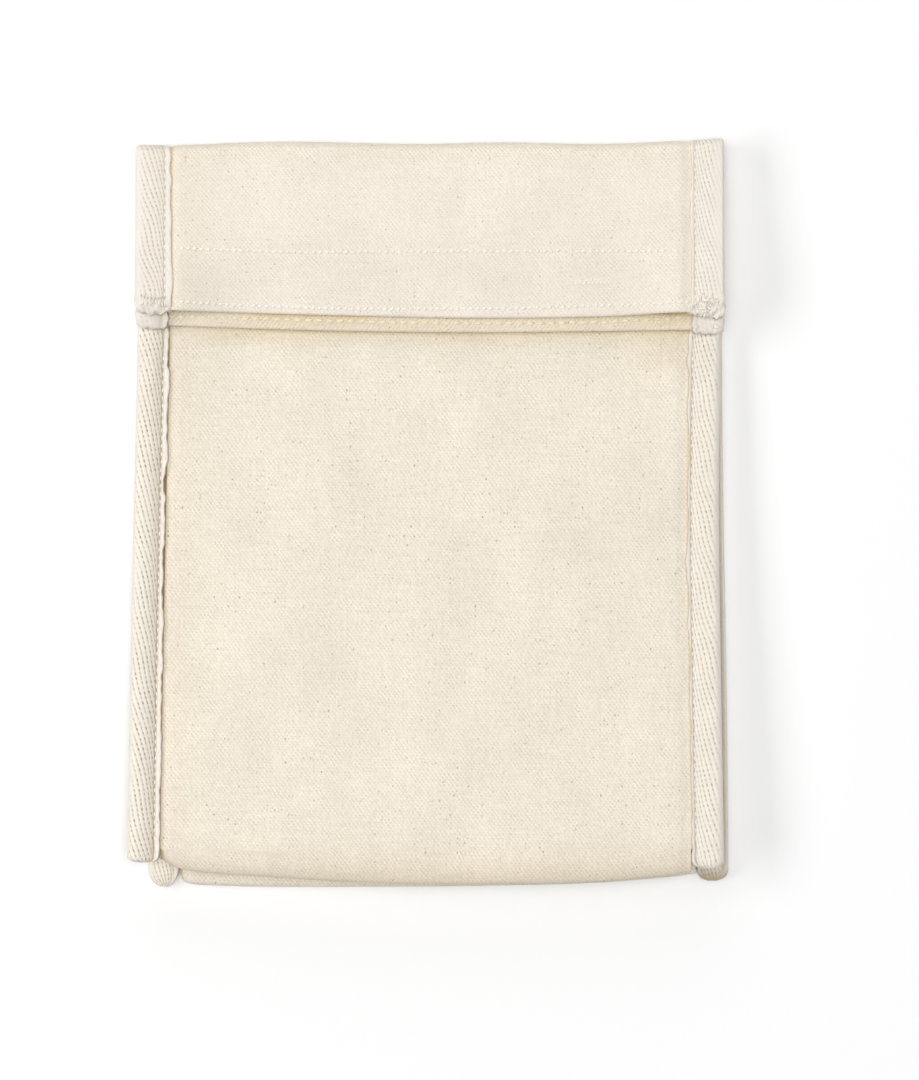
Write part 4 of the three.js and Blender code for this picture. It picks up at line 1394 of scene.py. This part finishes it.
@dataclass
class BindingTape:
    """A twill tape folded over the two edges of canvas in a seam: a rounded strip with a slot for them."""

    shape: BagShape
    layer: Layer
    side: Side
    weave: CottonTape
    leaf_round: float = 0.5
    lip_past: float = 1.6  # how far it runs past the lip
    slot_past: float = 2.0  # its slot runs this far past the canvas at the bottom
    fine_points: int = 44  # across the leaf that shows, and across the other
    coarse_points: int = 10
    edge_points: int = 9
    fine_step: float = 0.5  # along the stretch that shows, and along the rest
    coarse_step: float = 1.5
    fine_from: float = 0.8  # share of the flap from which its rows are fine on either face
    bend_rows: int = 26
    wale_height: float = 0.16
    crowding: float = 3.0  # how much wale the sewn line pulls together, and over what width
    crowding_reach: float = 2.4
    groove: float = 0.25  # depth of the sewn line
    groove_width: float = 0.35
    wander: float = 0.3  # of its inner edge
    wander_span: float = 18.0
    ripple: float = 0.14
    ripple_span: float = 5.0
    # painted shade in the sewn line's groove, and painted shadow at the tape's inner edge
    sewn_soil: float = 0.5
    sewn_wash: float = 1.6  # how much of that painted shade goes where the tape is washed out
    front_gauge: float = 0.95  # how closely its wales lie, as a share of the weave's own
    back_gauge: float = 1.09
    sway: float = 0.35  # how far its wales wander sideways
    sway_span: float = 24.0
    tack_depth: float = 0.25  # the tacking across the end of the flap: its depth, place and dashes
    tack_from_end: float = 5.4
    tack_bow: float = 0.07
    tack_length: float = 0.45
    tack_pitch: float = 0.95
    # painted shade in the pits of the tacking
    tack_soil: float = 0.8
    end_length: float = 9.0  # the stretch at the flap's end where the tape is bunched
    pleat_span: float = 2.2  # from pleat to pleat there
    end_fade: float = 0.75  # how washed out it is at its end there
    ragged: float = 1.2  # how uneven that end is for its bunching
    end_flatness: float = 0.4  # how much thinner it is at that end
    end_thinning: float = 6.0  # and over what length
    ragged_length: float = 4.0
    ragged_span: float = 2.6
    tack_stitch: float = 1.9
    tack_spread: tuple = (3.4, 4.2)  # from the middle, how far the tacking runs: tidy, and at most
    front_tangle: float = 3.6  # how far from the end tangled stitches start
    back_tangle: float = 8.6
    front_shown: tuple = (50.0, 62.0)  # Y over which the front tapes go in under the flap
    sewn_from: float = 58.0  # Y of the first stitch down a front tape
    foot_flutes: float = 0.18  # the flutes round its foot: their height, reach and pitch
    flute_reach: float = 2.5
    flute_pitch: float = 1.3
    covered_at: float = 3.4  # where the tape over it ends, across it
    covered_width: float = 0.9

    def __post_init__(self) -> None:
        """Works out the section, its widths, and the curve of its swelling."""
        self.cut = TAPES[self.layer, self.side]
        self.facing = 1 if self.layer is FRONT else -1  # the leaf that shows is the upper or the lower
        self.swelling = Curve(TAPE_SWELL, "inset", "rise")
        self.sewn = self.shape.tape_reach - self.cut.selvedge
        self.seed = 11 + list(TAPES).index((self.layer, self.side))
        self.gauge = self.front_gauge if self.layer is FRONT else self.back_gauge
        corner = self.shape.edges[self.layer, self.side](PAST_FOLD)
        self.flap = float(self.shape.fold_start(corner) - self.shape.lips[self.layer](corner))
        self.section = self.profile()
        self.inner_edge = float(np.abs(self.section.across[0])) + self.leaf_round

    def profile(self) -> TapeSection:
        """The tape's section as a ring.

        From the upper leaf's inner edge out along the top, round the outer edge in a half ellipse, in along
        the underside, round the lower leaf's edge, through the slot, and round the upper leaf's edge.

        Returns:
            The section.
        """
        shape = self.shape
        stack, reach, leaf = shape.seam_stack, shape.tape_reach, shape.tape_wall
        r, edge = self.leaf_round, self.cut.edge
        counts = (self.fine_points, self.coarse_points)[:: self.facing]
        top, low = (np.linspace(reach - r, edge, count) for count in counts)
        phi = np.linspace(math.pi / 2, -math.pi / 2, self.edge_points + 2)[1:-1]
        arc = np.linspace(-math.pi / 2, math.pi / 2, 7)[1:-1]
        slot = np.linspace(reach - r, leaf, 8)
        side = np.linspace(leaf, stack - leaf, 4)[1:-1]
        rim = reach - r + r * np.cos(arc)
        stretches = [  # inset, height, and the way out
            (top, stack, 0, 1),
            (edge * (1 - np.cos(phi)), stack / 2 * (1 + np.sin(phi)), -np.cos(phi), np.sin(phi)),
            (low[::-1], 0, 0, -1),
            (rim, leaf / 2 * (1 + np.sin(arc)), np.cos(arc), np.sin(arc)),
            (slot, leaf, 0, 0),
            (leaf, side, 0, 0),
            (slot[::-1], stack - leaf, 0, 0),
            (rim, stack - leaf / 2 * (1 - np.sin(arc)), np.cos(arc), np.sin(arc)),
        ]
        columns = zip(*(np.broadcast_arrays(*stretch) for stretch in stretches))
        d, h, out_d, out_h = (np.concatenate(column) for column in columns)
        round_it = walked(np.stack([d, h], axis=-1))
        outermost = round_it[len(top) + self.edge_points // 2]
        in_slot = np.zeros(len(d), bool)
        first = len(top) + self.edge_points + len(low) + len(arc)
        in_slot[first : -len(arc)] = True
        return TapeSection(d, h, out_d, out_h, outermost - round_it, in_slot)

    def on_weave(self, across: Array, along: Array) -> tuple[Array, Array]:
        """Place on the tape as its weave counts it: wales crowd to the sewn line, and sway elsewhere."""
        from_sewn = self.inner_edge - self.cut.selvedge - np.abs(across)
        pulled = self.crowding * (1 - np.exp(-np.maximum(from_sewn, 0) / self.crowding_reach))
        sway = self.sway * waves(0 * along, along, self.seed + 8, self.sway_span)
        u = self.weave.sewn - self.gauge * (from_sewn + pulled) + sway * smooth(from_sewn, 0, 3)
        return np.sign(across) * u * self.side.inward, self.gauge * along

    def stations(self) -> tuple[Stations, Array, Array]:
        """Rows along the tape from past the lip to past the seam's end.

        Returns:
            The stations, by how much the section shrinks at each, and whether the slot is open there.
        """
        flap, fine_from = self.flap, self.fine_from
        steps = (self.coarse_step, self.fine_step)[:: self.facing]
        slot_end = self.shape.seam_end(self.layer) - self.slot_past
        rounded = np.array([1.0, 0.97, 0.9, 0.8, 0.65, 0.5, 0.3, 0.1])
        shrink = (1 - rounded**self.cut.squareness) ** (1 / self.cut.squareness)
        shrink[0] = 0.3
        fine_end = np.arange(1, fine_from, -self.fine_step / flap)
        on_flap = np.concatenate([fine_end, np.linspace(fine_from, 0, int(fine_from * flap / steps[0]))])
        bend = np.linspace(math.pi, 0, self.bend_rows)[1:]
        body = np.linspace(BODY_TOP, slot_end, int((BODY_TOP - slot_end) / steps[1]))
        straight = np.linspace(0, self.cut.straight_end, 6)[1:-1]
        foot = np.concatenate([straight, lerp(self.cut.straight_end, 1, rounded[::-1])])
        stations = Stations.joined(
            Stations.on_flap(1 + rounded * self.lip_past / flap),
            Stations.on_flap(on_flap),
            Stations.round_bend(bend),
            Stations.on_body(body),
            Stations.on_body(lerp(slot_end, self.cut.end, foot)),
        )
        opened = len(on_flap) + len(bend) + len(body)
        scale = np.concatenate([shrink, np.ones(opened + len(straight)), shrink[::-1]])
        is_open = np.concatenate([0 * rounded, np.ones(opened), 0 * foot])
        return stations, scale[:, None], is_open[:, None]

    def along(self, stations: Stations) -> Array:
        """Place of each row along the tape, falling from its flap end to its foot."""
        shape = self.shape
        edge = shape.seam_edge(self.layer, self.side, stations)
        base = shape.seam_base(self.layer, stations)
        centre = shape.folded(stations, edge, base + shape.seam_stack / 2, self.layer)[:, 0]
        return -walked(centre)[:, None]

    def shown(self, stations: Stations) -> Array:
        """Where the outside leaf shows and has room: below the flap, or on the flap's own top."""
        if self.layer is FRONT:
            return 1 - smooth(stations.y, *self.front_shown)
        return smooth(stations.turn, math.pi / 2, math.pi)

    def swollen(self, stations: Stations, d: Array) -> Array:
        """How far the outside leaf swells: over the edges inside it, and least at the sewn line."""
        inset = np.where(d < self.sewn, d / self.sewn, 1 + (d - self.sewn) / self.cut.selvedge)
        return self.cut.swell * self.swelling(inset) * self.shown(stations)

    def tacking(self, across: Array, along: Array) -> Array:
        """The tacking across the end of the flap: dashes along a shallow arc, 1 where they are deepest."""
        if self.layer is FRONT:
            return 0 * across * along
        off_middle = np.abs(across) - (self.inner_edge + self.cut.edge) / 2
        arc = along + self.tack_from_end + self.tack_bow * off_middle**2
        dash = (0.5 + 0.5 * np.cos(2 * math.pi * across / self.tack_pitch)) ** 1.5
        within = 1 - smooth(np.abs(off_middle), *self.tack_spread)
        return bell(arc, self.tack_length) * dash * (across < 0) * within

    def near_end(self, along: Array) -> Array:
        """How bunched the tape is: 1 at its end on the flap, 0 away from it."""
        return smooth(along, -self.end_length, -self.end_length / 2)

    def fade(self, stations: Stations, along: Array) -> Array:
        """How washed out the tape is: evenly where it shows, and most at its end on the flap."""
        shown = self.cut.faded * self.shown(stations)
        return np.maximum(shown, self.end_fade * self.near_end(along)) + 0 * self.section.across

    def relief(self, across: Array, along: Array) -> Array:
        """Relief of the twill: wales with pits between them, a plain selvedge, sunk sewing, bunched ends.

        Args:
            across: Distance round the section from the outer edge, signed.
            along: Place along the tape.

        Returns:
            Height over the tape's plain face.
        """
        u, v = self.on_weave(across, along)
        valley = 0.5 + 0.5 * np.cos(2 * math.pi * self.weave.wale_phase(u, v))
        pit = 0.5 + 0.5 * np.cos(2 * math.pi * self.weave.pit_phase(u, v))
        inner = self.inner_edge - np.abs(across)
        ribbed = smooth(inner - self.cut.selvedge, -0.1, 0.5) * smooth(np.abs(across), 0, 4)
        bunching = self.near_end(along)
        wales = self.wale_height * ribbed * (0.45 - valley**1.5 * (0.4 + 0.6 * pit)) * (1 - 0.7 * bunching)
        sewn = self.groove * bell(inner - self.cut.selvedge, self.groove_width)
        tack = self.tack_depth * self.tacking(across, along)
        pleats = self.cut.bunching * bunching * waves(across, 0.4 * along, 21, self.pleat_span)
        fluted = np.cos(2 * math.pi * across / self.flute_pitch)
        flutes = self.foot_flutes * bell(along - along.min(), self.flute_reach) * fluted
        return wales - sewn - tack + pleats + flutes

    def surface(self, stations: Stations, d: Array, h: Array) -> Array:
        """Points of the tape at an inset from its outer edge and a height over the seam's underside."""
        shape = self.shape
        x = shape.seam_edge(self.layer, self.side, stations) + self.side.inward * d
        return shape.folded(stations, x, shape.seam_base(self.layer, stations) + h, self.layer)

    def widened(self, stations: Stations, along: Array, d: Array) -> Array:
        """An inset with the tape's spread on the flap and the wandering of its inner edge."""
        reach = self.shape.tape_reach
        spread = self.cut.spread * smooth(stations.turn, math.pi / 2, math.pi) * smooth(d, 2, self.sewn)
        wave = self.wander * waves(0 * along, along, self.seed, self.wander_span)
        ripple = self.ripple * waves(0 * along, along, self.seed + 4, self.ripple_span)
        return d + spread + (wave + ripple) * smooth(d, self.sewn, reach)

    def points(self, stations: Stations, along: Array, scale: Array, is_open: Array) -> Array:
        """Points of every ring: the section with its relief and its swelling, shrunk towards its ends."""
        ring, shape = self.section, self.shape
        reach, stack, leaf = shape.tape_reach, shape.seam_stack, shape.tape_wall
        slot = np.flatnonzero(ring.in_slot)
        level = np.interp(np.arange(len(ring.d)), slot[[0, -1]], [leaf, stack - leaf])
        d = np.where(ring.in_slot, lerp(reach, ring.d, is_open), ring.d)
        h = np.where(ring.in_slot, lerp(level, ring.h, is_open), ring.h)
        facing = self.facing * ring.out_h
        room = np.where(facing > 0, 1 - facing * (1 - self.shown(stations)), 1 + facing)
        relief = np.where(np.hypot(ring.out_d, ring.out_h) > 0, self.relief(ring.across, along), 0) * room
        swell = self.swollen(stations, ring.d) * np.maximum(facing, 0)
        d = self.widened(stations, along, d) + ring.out_d * relief
        h = h + ring.out_h * relief + self.facing * swell
        d = reach / 2 + (d - reach / 2) * scale
        h = stack / 2 + (h - stack / 2) * scale * self.flattened(along)
        points = self.surface(stations, d, h)
        ragged = self.ragged * self.cut.bunching * smooth(along, -self.ragged_length, 0)
        points[..., 1] += ragged * waves(d, 0 * d, self.seed, self.ragged_span)
        return points

    def soil(self, stations: Stations, along: Array) -> Array:
        """Painted shade on the tape: by and in its sewn line, in its tacking, at its inner edge and foot.
        """
        across = self.section.across[None, :]
        inner = self.inner_edge - np.abs(across)
        most = self.sewn_soil * (1 - self.sewn_wash * self.cut.faded)
        sewn = most * bell(inner - self.cut.selvedge, self.groove_width)
        edge = most * (1 - smooth(inner, -0.3, 0.3))
        shade_tint = self.cut.shade_tint * (1 - smooth(inner, self.cut.selvedge, 7)) * (inner > self.cut.selvedge)
        on_body = stations.turn == 0
        foot = 1 - smooth(stations.y, self.cut.end + 1, self.cut.end + 6)
        covered = bell(across - self.covered_at, self.covered_width) * on_body
        # painted shade at the foot and where the tape over it ends
        tucked_shade = self.cut.tucked_shade * np.maximum(foot * on_body, covered)
        tack = self.tack_soil * self.tacking(across, along)
        return np.clip(np.maximum(sewn, edge) + shade_tint + tack + tucked_shade, 0, 1)

    def sewing(self) -> tuple[Array, Array]:
        """The sewn line where it shows: points along it, and the way out of the tape at each."""
        if self.layer is FRONT:
            stations = Stations.on_body(np.linspace(self.sewn_from, self.shape.seam_end_front, 500))
        else:
            flap, bend = np.linspace(0.97, 0, 150), np.linspace(math.pi, 0.7, 30)
            stations = Stations.joined(Stations.on_flap(flap), Stations.round_bend(bend))
        face = self.shape.seam_stack if self.layer is FRONT else 0.0
        d = np.full_like(stations.y, self.sewn)
        h = face + self.facing * (self.swollen(stations, d) - self.groove)
        d = self.widened(stations, 0 * d, d)
        points = self.surface(stations, d, h)[:, 0]
        up = self.surface(stations, d, h + self.facing)[:, 0] - points
        return points, up / np.linalg.norm(up, axis=-1, keepdims=True)

    def flattened(self, along: Array) -> Array:
        """Share of its thickness that the tape keeps: less and less of it towards its end on the flap."""
        return 1 - self.end_flatness * smooth(along, -self.end_thinning, 0)

    def on_end(self, off_middle: Array, from_end: Array) -> Array:
        """Points on the tape's outside by its flap end, at distances from its middle and from that end."""
        stations = Stations.on_flap(1 + (self.lip_past - from_end) / self.flap)
        d = self.widened(stations, 0 * stations.y, self.shape.tape_reach / 2 + off_middle[:, None])
        middle = self.shape.seam_stack / 2
        h = middle - (middle + self.swollen(stations, d)) * self.flattened(-from_end[:, None])
        return self.surface(stations, d, h)[:, 0]

    def tacks(self) -> tuple[Array, Array]:
        """Stitches of the tacking: they fan out under its arc, or lie anyhow where they are tangled.

        Returns:
            Where each starts and where it ends.
        """
        rng = np.random.default_rng(self.seed)
        tangle, count = self.cut.tangle, self.cut.tacks
        farthest = self.back_tangle if self.layer is BACK else self.front_tangle
        tidy, most = self.tack_spread
        even = np.linspace(-tidy, tidy, count)
        off = lerp(even, rng.uniform(-most, most, count), tangle)
        arc = self.tack_from_end - 0.5 - self.tack_bow * even**2
        start = lerp(arc + rng.normal(0, 0.25, count), rng.uniform(1.8, farthest, count), tangle)
        angle = lerp(0.1 * even + rng.normal(0, 0.15, count), rng.uniform(-1.5, 1.5, count), tangle)
        length = self.tack_stitch * rng.uniform(0.6, 1.1, count)
        end = start - length * np.cos(angle)
        return self.on_end(off, start), self.on_end(off + length * np.sin(angle), end)

    def build(self, material: Material) -> Object:
        """Builds the tape: its section carried along its rows, with both ends rounded off and closed.

        Args:
            material: The tape.

        Returns:
            The piece.
        """
        stations, scale, is_open = self.stations()
        along = self.along(stations)
        points = self.points(stations, along, scale, is_open)
        rows, count = points.shape[:2]
        grid = np.arange(rows * count).reshape(rows, count)
        after = np.roll(grid, -1, axis=1)
        quads = np.stack([grid[:-1], after[:-1], after[1:], grid[1:]], axis=-1).reshape(-1, 4)
        round_it = np.append(self.section.across, self.section.across[-1] - 0.1)
        place = stacked(*self.on_weave(round_it, along))
        around = [place[:-1, :-1], place[:-1, 1:], place[1:, 1:], place[1:, :-1]]
        uv = np.stack(around, axis=2).reshape(-1, 4, 2)
        ends = np.stack([points[0].mean(axis=0), points[-1].mean(axis=0)])
        caps = [(after[0], grid[0], rows * count), (grid[-1], after[-1], rows * count + 1)]
        tris = np.concatenate([np.stack([a, b, np.full(count, tip)], axis=-1) for a, b, tip in caps])
        cap_uv = place[[0, -1], :-1].reshape(-1, 1, 2).repeat(3, axis=1)
        if volume(points.reshape(-1, 3), quads) < 0:
            quads, uv, tris = quads[:, ::-1], uv[:, ::-1], tris[:, ::-1]
        corners = np.concatenate([uv.reshape(-1, 2), cap_uv.reshape(-1, 2)])
        name = f"tape_{self.layer.value}_{self.side.value}"
        all_points = np.concatenate([points.reshape(-1, 3), ends])
        piece = make_mesh(name, all_points, quads.tolist() + tris.tolist(), corners, material)
        add_values(piece, PAINTED_SHADE_NAME, np.append(self.soil(stations, along), [0, 0]))
        add_values(piece, FADE_NAME, np.append(self.fade(stations, along), [0, 0]))
        self.length = float(np.ptp(along))
        return dressed(piece, f"{self.layer.value}_binding_{self.side.value}")


@dataclass
class Stitching:
    """A line of sewing: short raised lengths of thread, each sunk at its ends."""

    pitch: float  # from stitch to stitch
    length: float  # of a stitch where it shows
    thread: float = 0.28  # radius
    flatness: float = 1.0  # height of the thread's section as a share of its width
    rings: int = 7
    sides: int = 6
    arch: float = 0.2  # how far the middle of a stitch stands up
    sink: float = 0.12
    slant: float = 0.1  # how unevenly the stitches lie, as a spread

    def build(
        self, name: str, line: Array, up: Array, material: Material, seed: int = 0
    ) -> Object:
        """Builds the stitches of a line at even steps along it.

        Args:
            name: The piece's name.
            line: Points that the line passes, in millimetres.
            up: Directions out of the cloth, one for all the points or one for each.
            material: The thread.
            seed: Seed of the stitches' unevenness.

        Returns:
            The piece.
        """
        reached = walked(line)
        at = np.arange(0, reached[-1] - self.length, self.pitch)
        up = np.broadcast_to(up, line.shape)
        starts, ends, up = (
            np.stack([np.interp(place, reached, values[:, axis]) for axis in range(3)], axis=-1)
            for place, values in ((at, line), (at + self.length, line), (at + self.length / 2, up))
        )
        return self.sew(name, starts, ends, up, material, seed)

    def sew(
        self, name: str, starts: Array, ends: Array, up: Array, material: Material, seed: int = 0
    ) -> Object:
        """Builds stitches as one mesh.

        Each stitch is a tube that arches up as a parabola and thins to its ends as an ellipse.

        Args:
            name: The piece's name.
            starts: Where each stitch starts, in millimetres.
            ends: Where it ends.
            up: The way out of the cloth at each.
            material: The thread.
            seed: Seed of the stitches' unevenness.

        Returns:
            The piece.
        """
        count = len(starts)
        rng = np.random.default_rng(seed)
        ahead = (ends - starts) / np.linalg.norm(ends - starts, axis=-1, keepdims=True)
        aside = np.cross(ahead, up)
        starts, ends = (p + aside * rng.normal(0, self.slant, (count, 1)) for p in (starts, ends))
        t = np.linspace(-1, 1, self.rings)
        angle = np.linspace(0, 2 * math.pi, self.sides, endpoint=False)
        lift = (self.arch * (1 - t**2) - self.sink)[None, :, None] * up[:, None]
        centre = lerp(starts[:, None], ends[:, None], (t[None, :, None] + 1) / 2) + lift
        radius = self.thread * np.sqrt(1 - 0.92 * t**2)
        rise = self.flatness * np.sin(angle)[None, :, None] * up[:, None]
        circle = np.cos(angle)[None, :, None] * aside[:, None] + rise
        points = centre[:, :, None] + radius[None, :, None, None] * circle[:, None]
        size = self.rings * self.sides
        grid = np.arange(size).reshape(self.rings, self.sides)
        after = np.roll(grid, -1, axis=1)
        tube = np.stack([grid[:-1], after[:-1], after[1:], grid[1:]], axis=-1).reshape(-1, 4)
        caps = np.stack([grid[0, ::-1], grid[-1]])
        offsets = size * np.arange(count)[:, None, None]
        quads, tips = (tube[None] + offsets).reshape(-1, 4), (caps[None] + offsets).reshape(-1, self.sides)
        if volume(points.reshape(-1, 3), quads) < 0:
            quads, tips = quads[:, ::-1], tips[:, ::-1]
        place = stacked(angle * self.thread, t[:, None] * self.length / 2)
        flat = np.tile(place.reshape(-1, 2), (count, 1))
        corners = np.concatenate([flat[quads.ravel()], flat[tips.ravel()]])
        piece = make_mesh(name, points.reshape(-1, 3), quads.tolist() + tips.tolist(), corners, material)
        return dressed(piece)


FLAP_SEWING = Stitching(2.3, 1.6, thread=0.55, flatness=0.45, arch=0.12, sink=0.02)
LIP_SEWING = Stitching(3.7, 2.7, thread=0.55, flatness=0.6, arch=0.28, sink=0.1)
TAPE_SEWING = Stitching(2.8, 1.9, thread=0.22, arch=0.12)
TACK_SEWING = Stitching(1.0, 1.9, thread=0.32, arch=0.35, sink=-0.1)


@dataclass(frozen=True)
class Panel:
    """A soft light."""

    name: str
    share: float  # of the light on the board
    elevation: float  # degrees over the board
    azimuth: float  # degrees from the left towards the top of the picture
    spread: tuple[float, float]  # its width and height as seen from the bag, in degrees


@dataclass
class Studio:
    """The white board that the bag lies on, soft lights over it and from the sides, and the camera."""

    frame_height: float = 378.0  # of the picture, at the bag
    centre_x: float = 10.675
    centre_y: float = -9.45
    bag_height: float = 12.0
    camera_height: float = 2000.0
    light: float = 1.165  # brightness of a white board
    panels: tuple = (
        Panel("key_panel", 0.22, 36.5, 2.0, (45.0, 18.0)),
        Panel("back_panel", 0.075, 24.0, 85.0, (50.0, 30.0)),
        Panel("fill_panel", 0.03, 20.0, 178.0, (60.0, 30.0)),
    )
    panel_distance: float = 4000.0
    around_share: float = 0.05  # of the light on the board that comes evenly from all round
    gather: float = 30.0  # how strongly the rest gathers overhead
    board: float = 3000.0  # its side, and the lines of points across it
    board_lines: int = 5
    sensor: float = 36.0

    def build(self) -> None:
        """Makes the board, the lights and the camera."""
        bpy.context.scene.view_settings.view_transform = "Standard"
        self.build_board()
        self.build_surround()
        for panel in self.panels:
            self.build_panel(panel)
        self.build_camera()

    def build_board(self) -> None:
        """Makes the board: a flat square of four quads to a side, under the bag."""
        even = np.linspace(-self.board / 2, self.board / 2, self.board_lines)
        x, y = np.meshgrid(even, even)
        points = np.stack([x, y, 0 * x], axis=-1).reshape(-1, 3)
        grid = np.arange(x.size).reshape(x.shape)
        around = [grid[:-1, :-1], grid[:-1, 1:], grid[1:, 1:], grid[1:, :-1]]
        faces = np.stack(around, axis=-1).reshape(-1, 4)
        board = make_mesh("board", points, faces.tolist(), points[faces.ravel(), :2], PaleBoard().make())

    def build_surround(self) -> None:
        """Makes the surround: an even white, and overhead a glow by a power of the direction's height."""
        world = bpy.data.worlds.new("soft_white_surround")
        bpy.context.scene.world = world
        world.use_nodes = True
        world.node_tree.nodes.clear()
        add = partial(add_node, world.node_tree)
        direction = add("TexCoord")
        height = add("SeparateXYZ", {"Vector": direction}, out="Z")
        above = add("Math", {0: height, 1: 0.0}, operation="MAXIMUM")
        gathered = add("Math", {0: above, 1: self.gather}, operation="POWER")
        even = self.light * self.around_share
        overhead = self.light * (1 - sum(panel.share for panel in self.panels)) - even
        zenith = overhead * (self.gather + 2) / 2
        strength = add("Math", {0: gathered, 1: zenith, 2: even}, operation="MULTIPLY_ADD")
        surround = add("Background", {"Color": (1.0, 1.0, 1.0, 1.0), "Strength": strength})
        add("OutputWorld", {"Surface": surround})

    def build_panel(self, panel: Panel) -> None:
        """Makes a soft light whose power gives its share of the light on the board."""
        elevation, azimuth = math.radians(panel.elevation), math.radians(panel.azimuth)
        away = Vector((
            -math.cos(elevation) * math.cos(azimuth),
            math.cos(elevation) * math.sin(azimuth),
            math.sin(elevation),
        ))
        distance = self.panel_distance * MM
        lamp = bpy.data.lights.new(panel.name, "AREA")
        lamp.shape = "RECTANGLE"
        halves = [math.radians(spread / 2) for spread in panel.spread]
        lamp.size, lamp.size_y = (2 * distance * math.tan(half) for half in halves)
        lamp.energy = self.light * panel.share * math.pi**2 * distance**2 / math.sin(elevation)
        light = bpy.data.objects.new(panel.name, lamp)
        light.location = away * distance
        light.rotation_euler = away.to_track_quat("Z", "Y").to_euler()
        bpy.context.scene.collection.objects.link(light)

    def build_camera(self) -> None:
        """Makes the camera: straight above the middle of the picture."""
        distance = self.camera_height - self.bag_height
        data = bpy.data.cameras.new("camera")
        data.sensor_width = self.sensor
        data.lens = self.sensor * distance / self.frame_height
        camera = bpy.data.objects.new("camera", data)
        camera.location = (self.centre_x * MM, self.centre_y * MM, self.camera_height * MM)
        bpy.context.scene.collection.objects.link(camera)
        bpy.context.scene.camera = camera


def build_panels(shape: BagShape, canvas: Material, thread: Material) -> None:
    body = CanvasBody(shape)
    panels = body.build(canvas)
    yellowed = SewingThread("yellowed_cotton_thread", ply="#fff5de", between="#f5e3c0").make()
    kinds = ((FLAP_SEWING, thread), (FLAP_SEWING, thread), (LIP_SEWING, yellowed))
    sewing = [
        stitching.build(name, line, UPRIGHT, yarn, seed)
        for seed, ((stitching, yarn), (name, line)) in enumerate(zip(kinds, body.sewing().items()))
    ]


def build_gusset(shape: BagShape, side: Side, canvas: Material) -> None:
    gusset = Gusset(shape, side)
    sheet = gusset.build(canvas)


def build_binding(binding: BindingTape, tape: Material, thread: Material) -> None:
    place = f"{binding.layer.value}_{binding.side.value}"
    strip = binding.build(tape)
    sewing = [TAPE_SEWING.build(f"tape_stitching_{place}", *binding.sewing(), thread)]
    if binding.cut.tacks:
        starts, ends = binding.tacks()
        up = np.broadcast_to(UPRIGHT, starts.shape)
        sewing.append(TACK_SEWING.sew(f"tape_tacking_{place}", starts, ends, up, thread))


def main() -> None:
    """Builds the studio and the bag piece by piece."""
    logging.basicConfig(level=logging.INFO, format="%(name)s %(message)s")
    Studio().build()
    shape, weave = BagShape(), CottonTape()
    canvas, tape, thread = CottonCanvas().make(), weave.make(), SewingThread().make()
    build_panels(shape, canvas, thread)
    for side in Side:
        build_gusset(shape, side, canvas)
    for layer, side in TAPES:
        build_binding(BindingTape(shape, layer, side, weave), tape, thread)


if __name__ == "__main__":
    main()
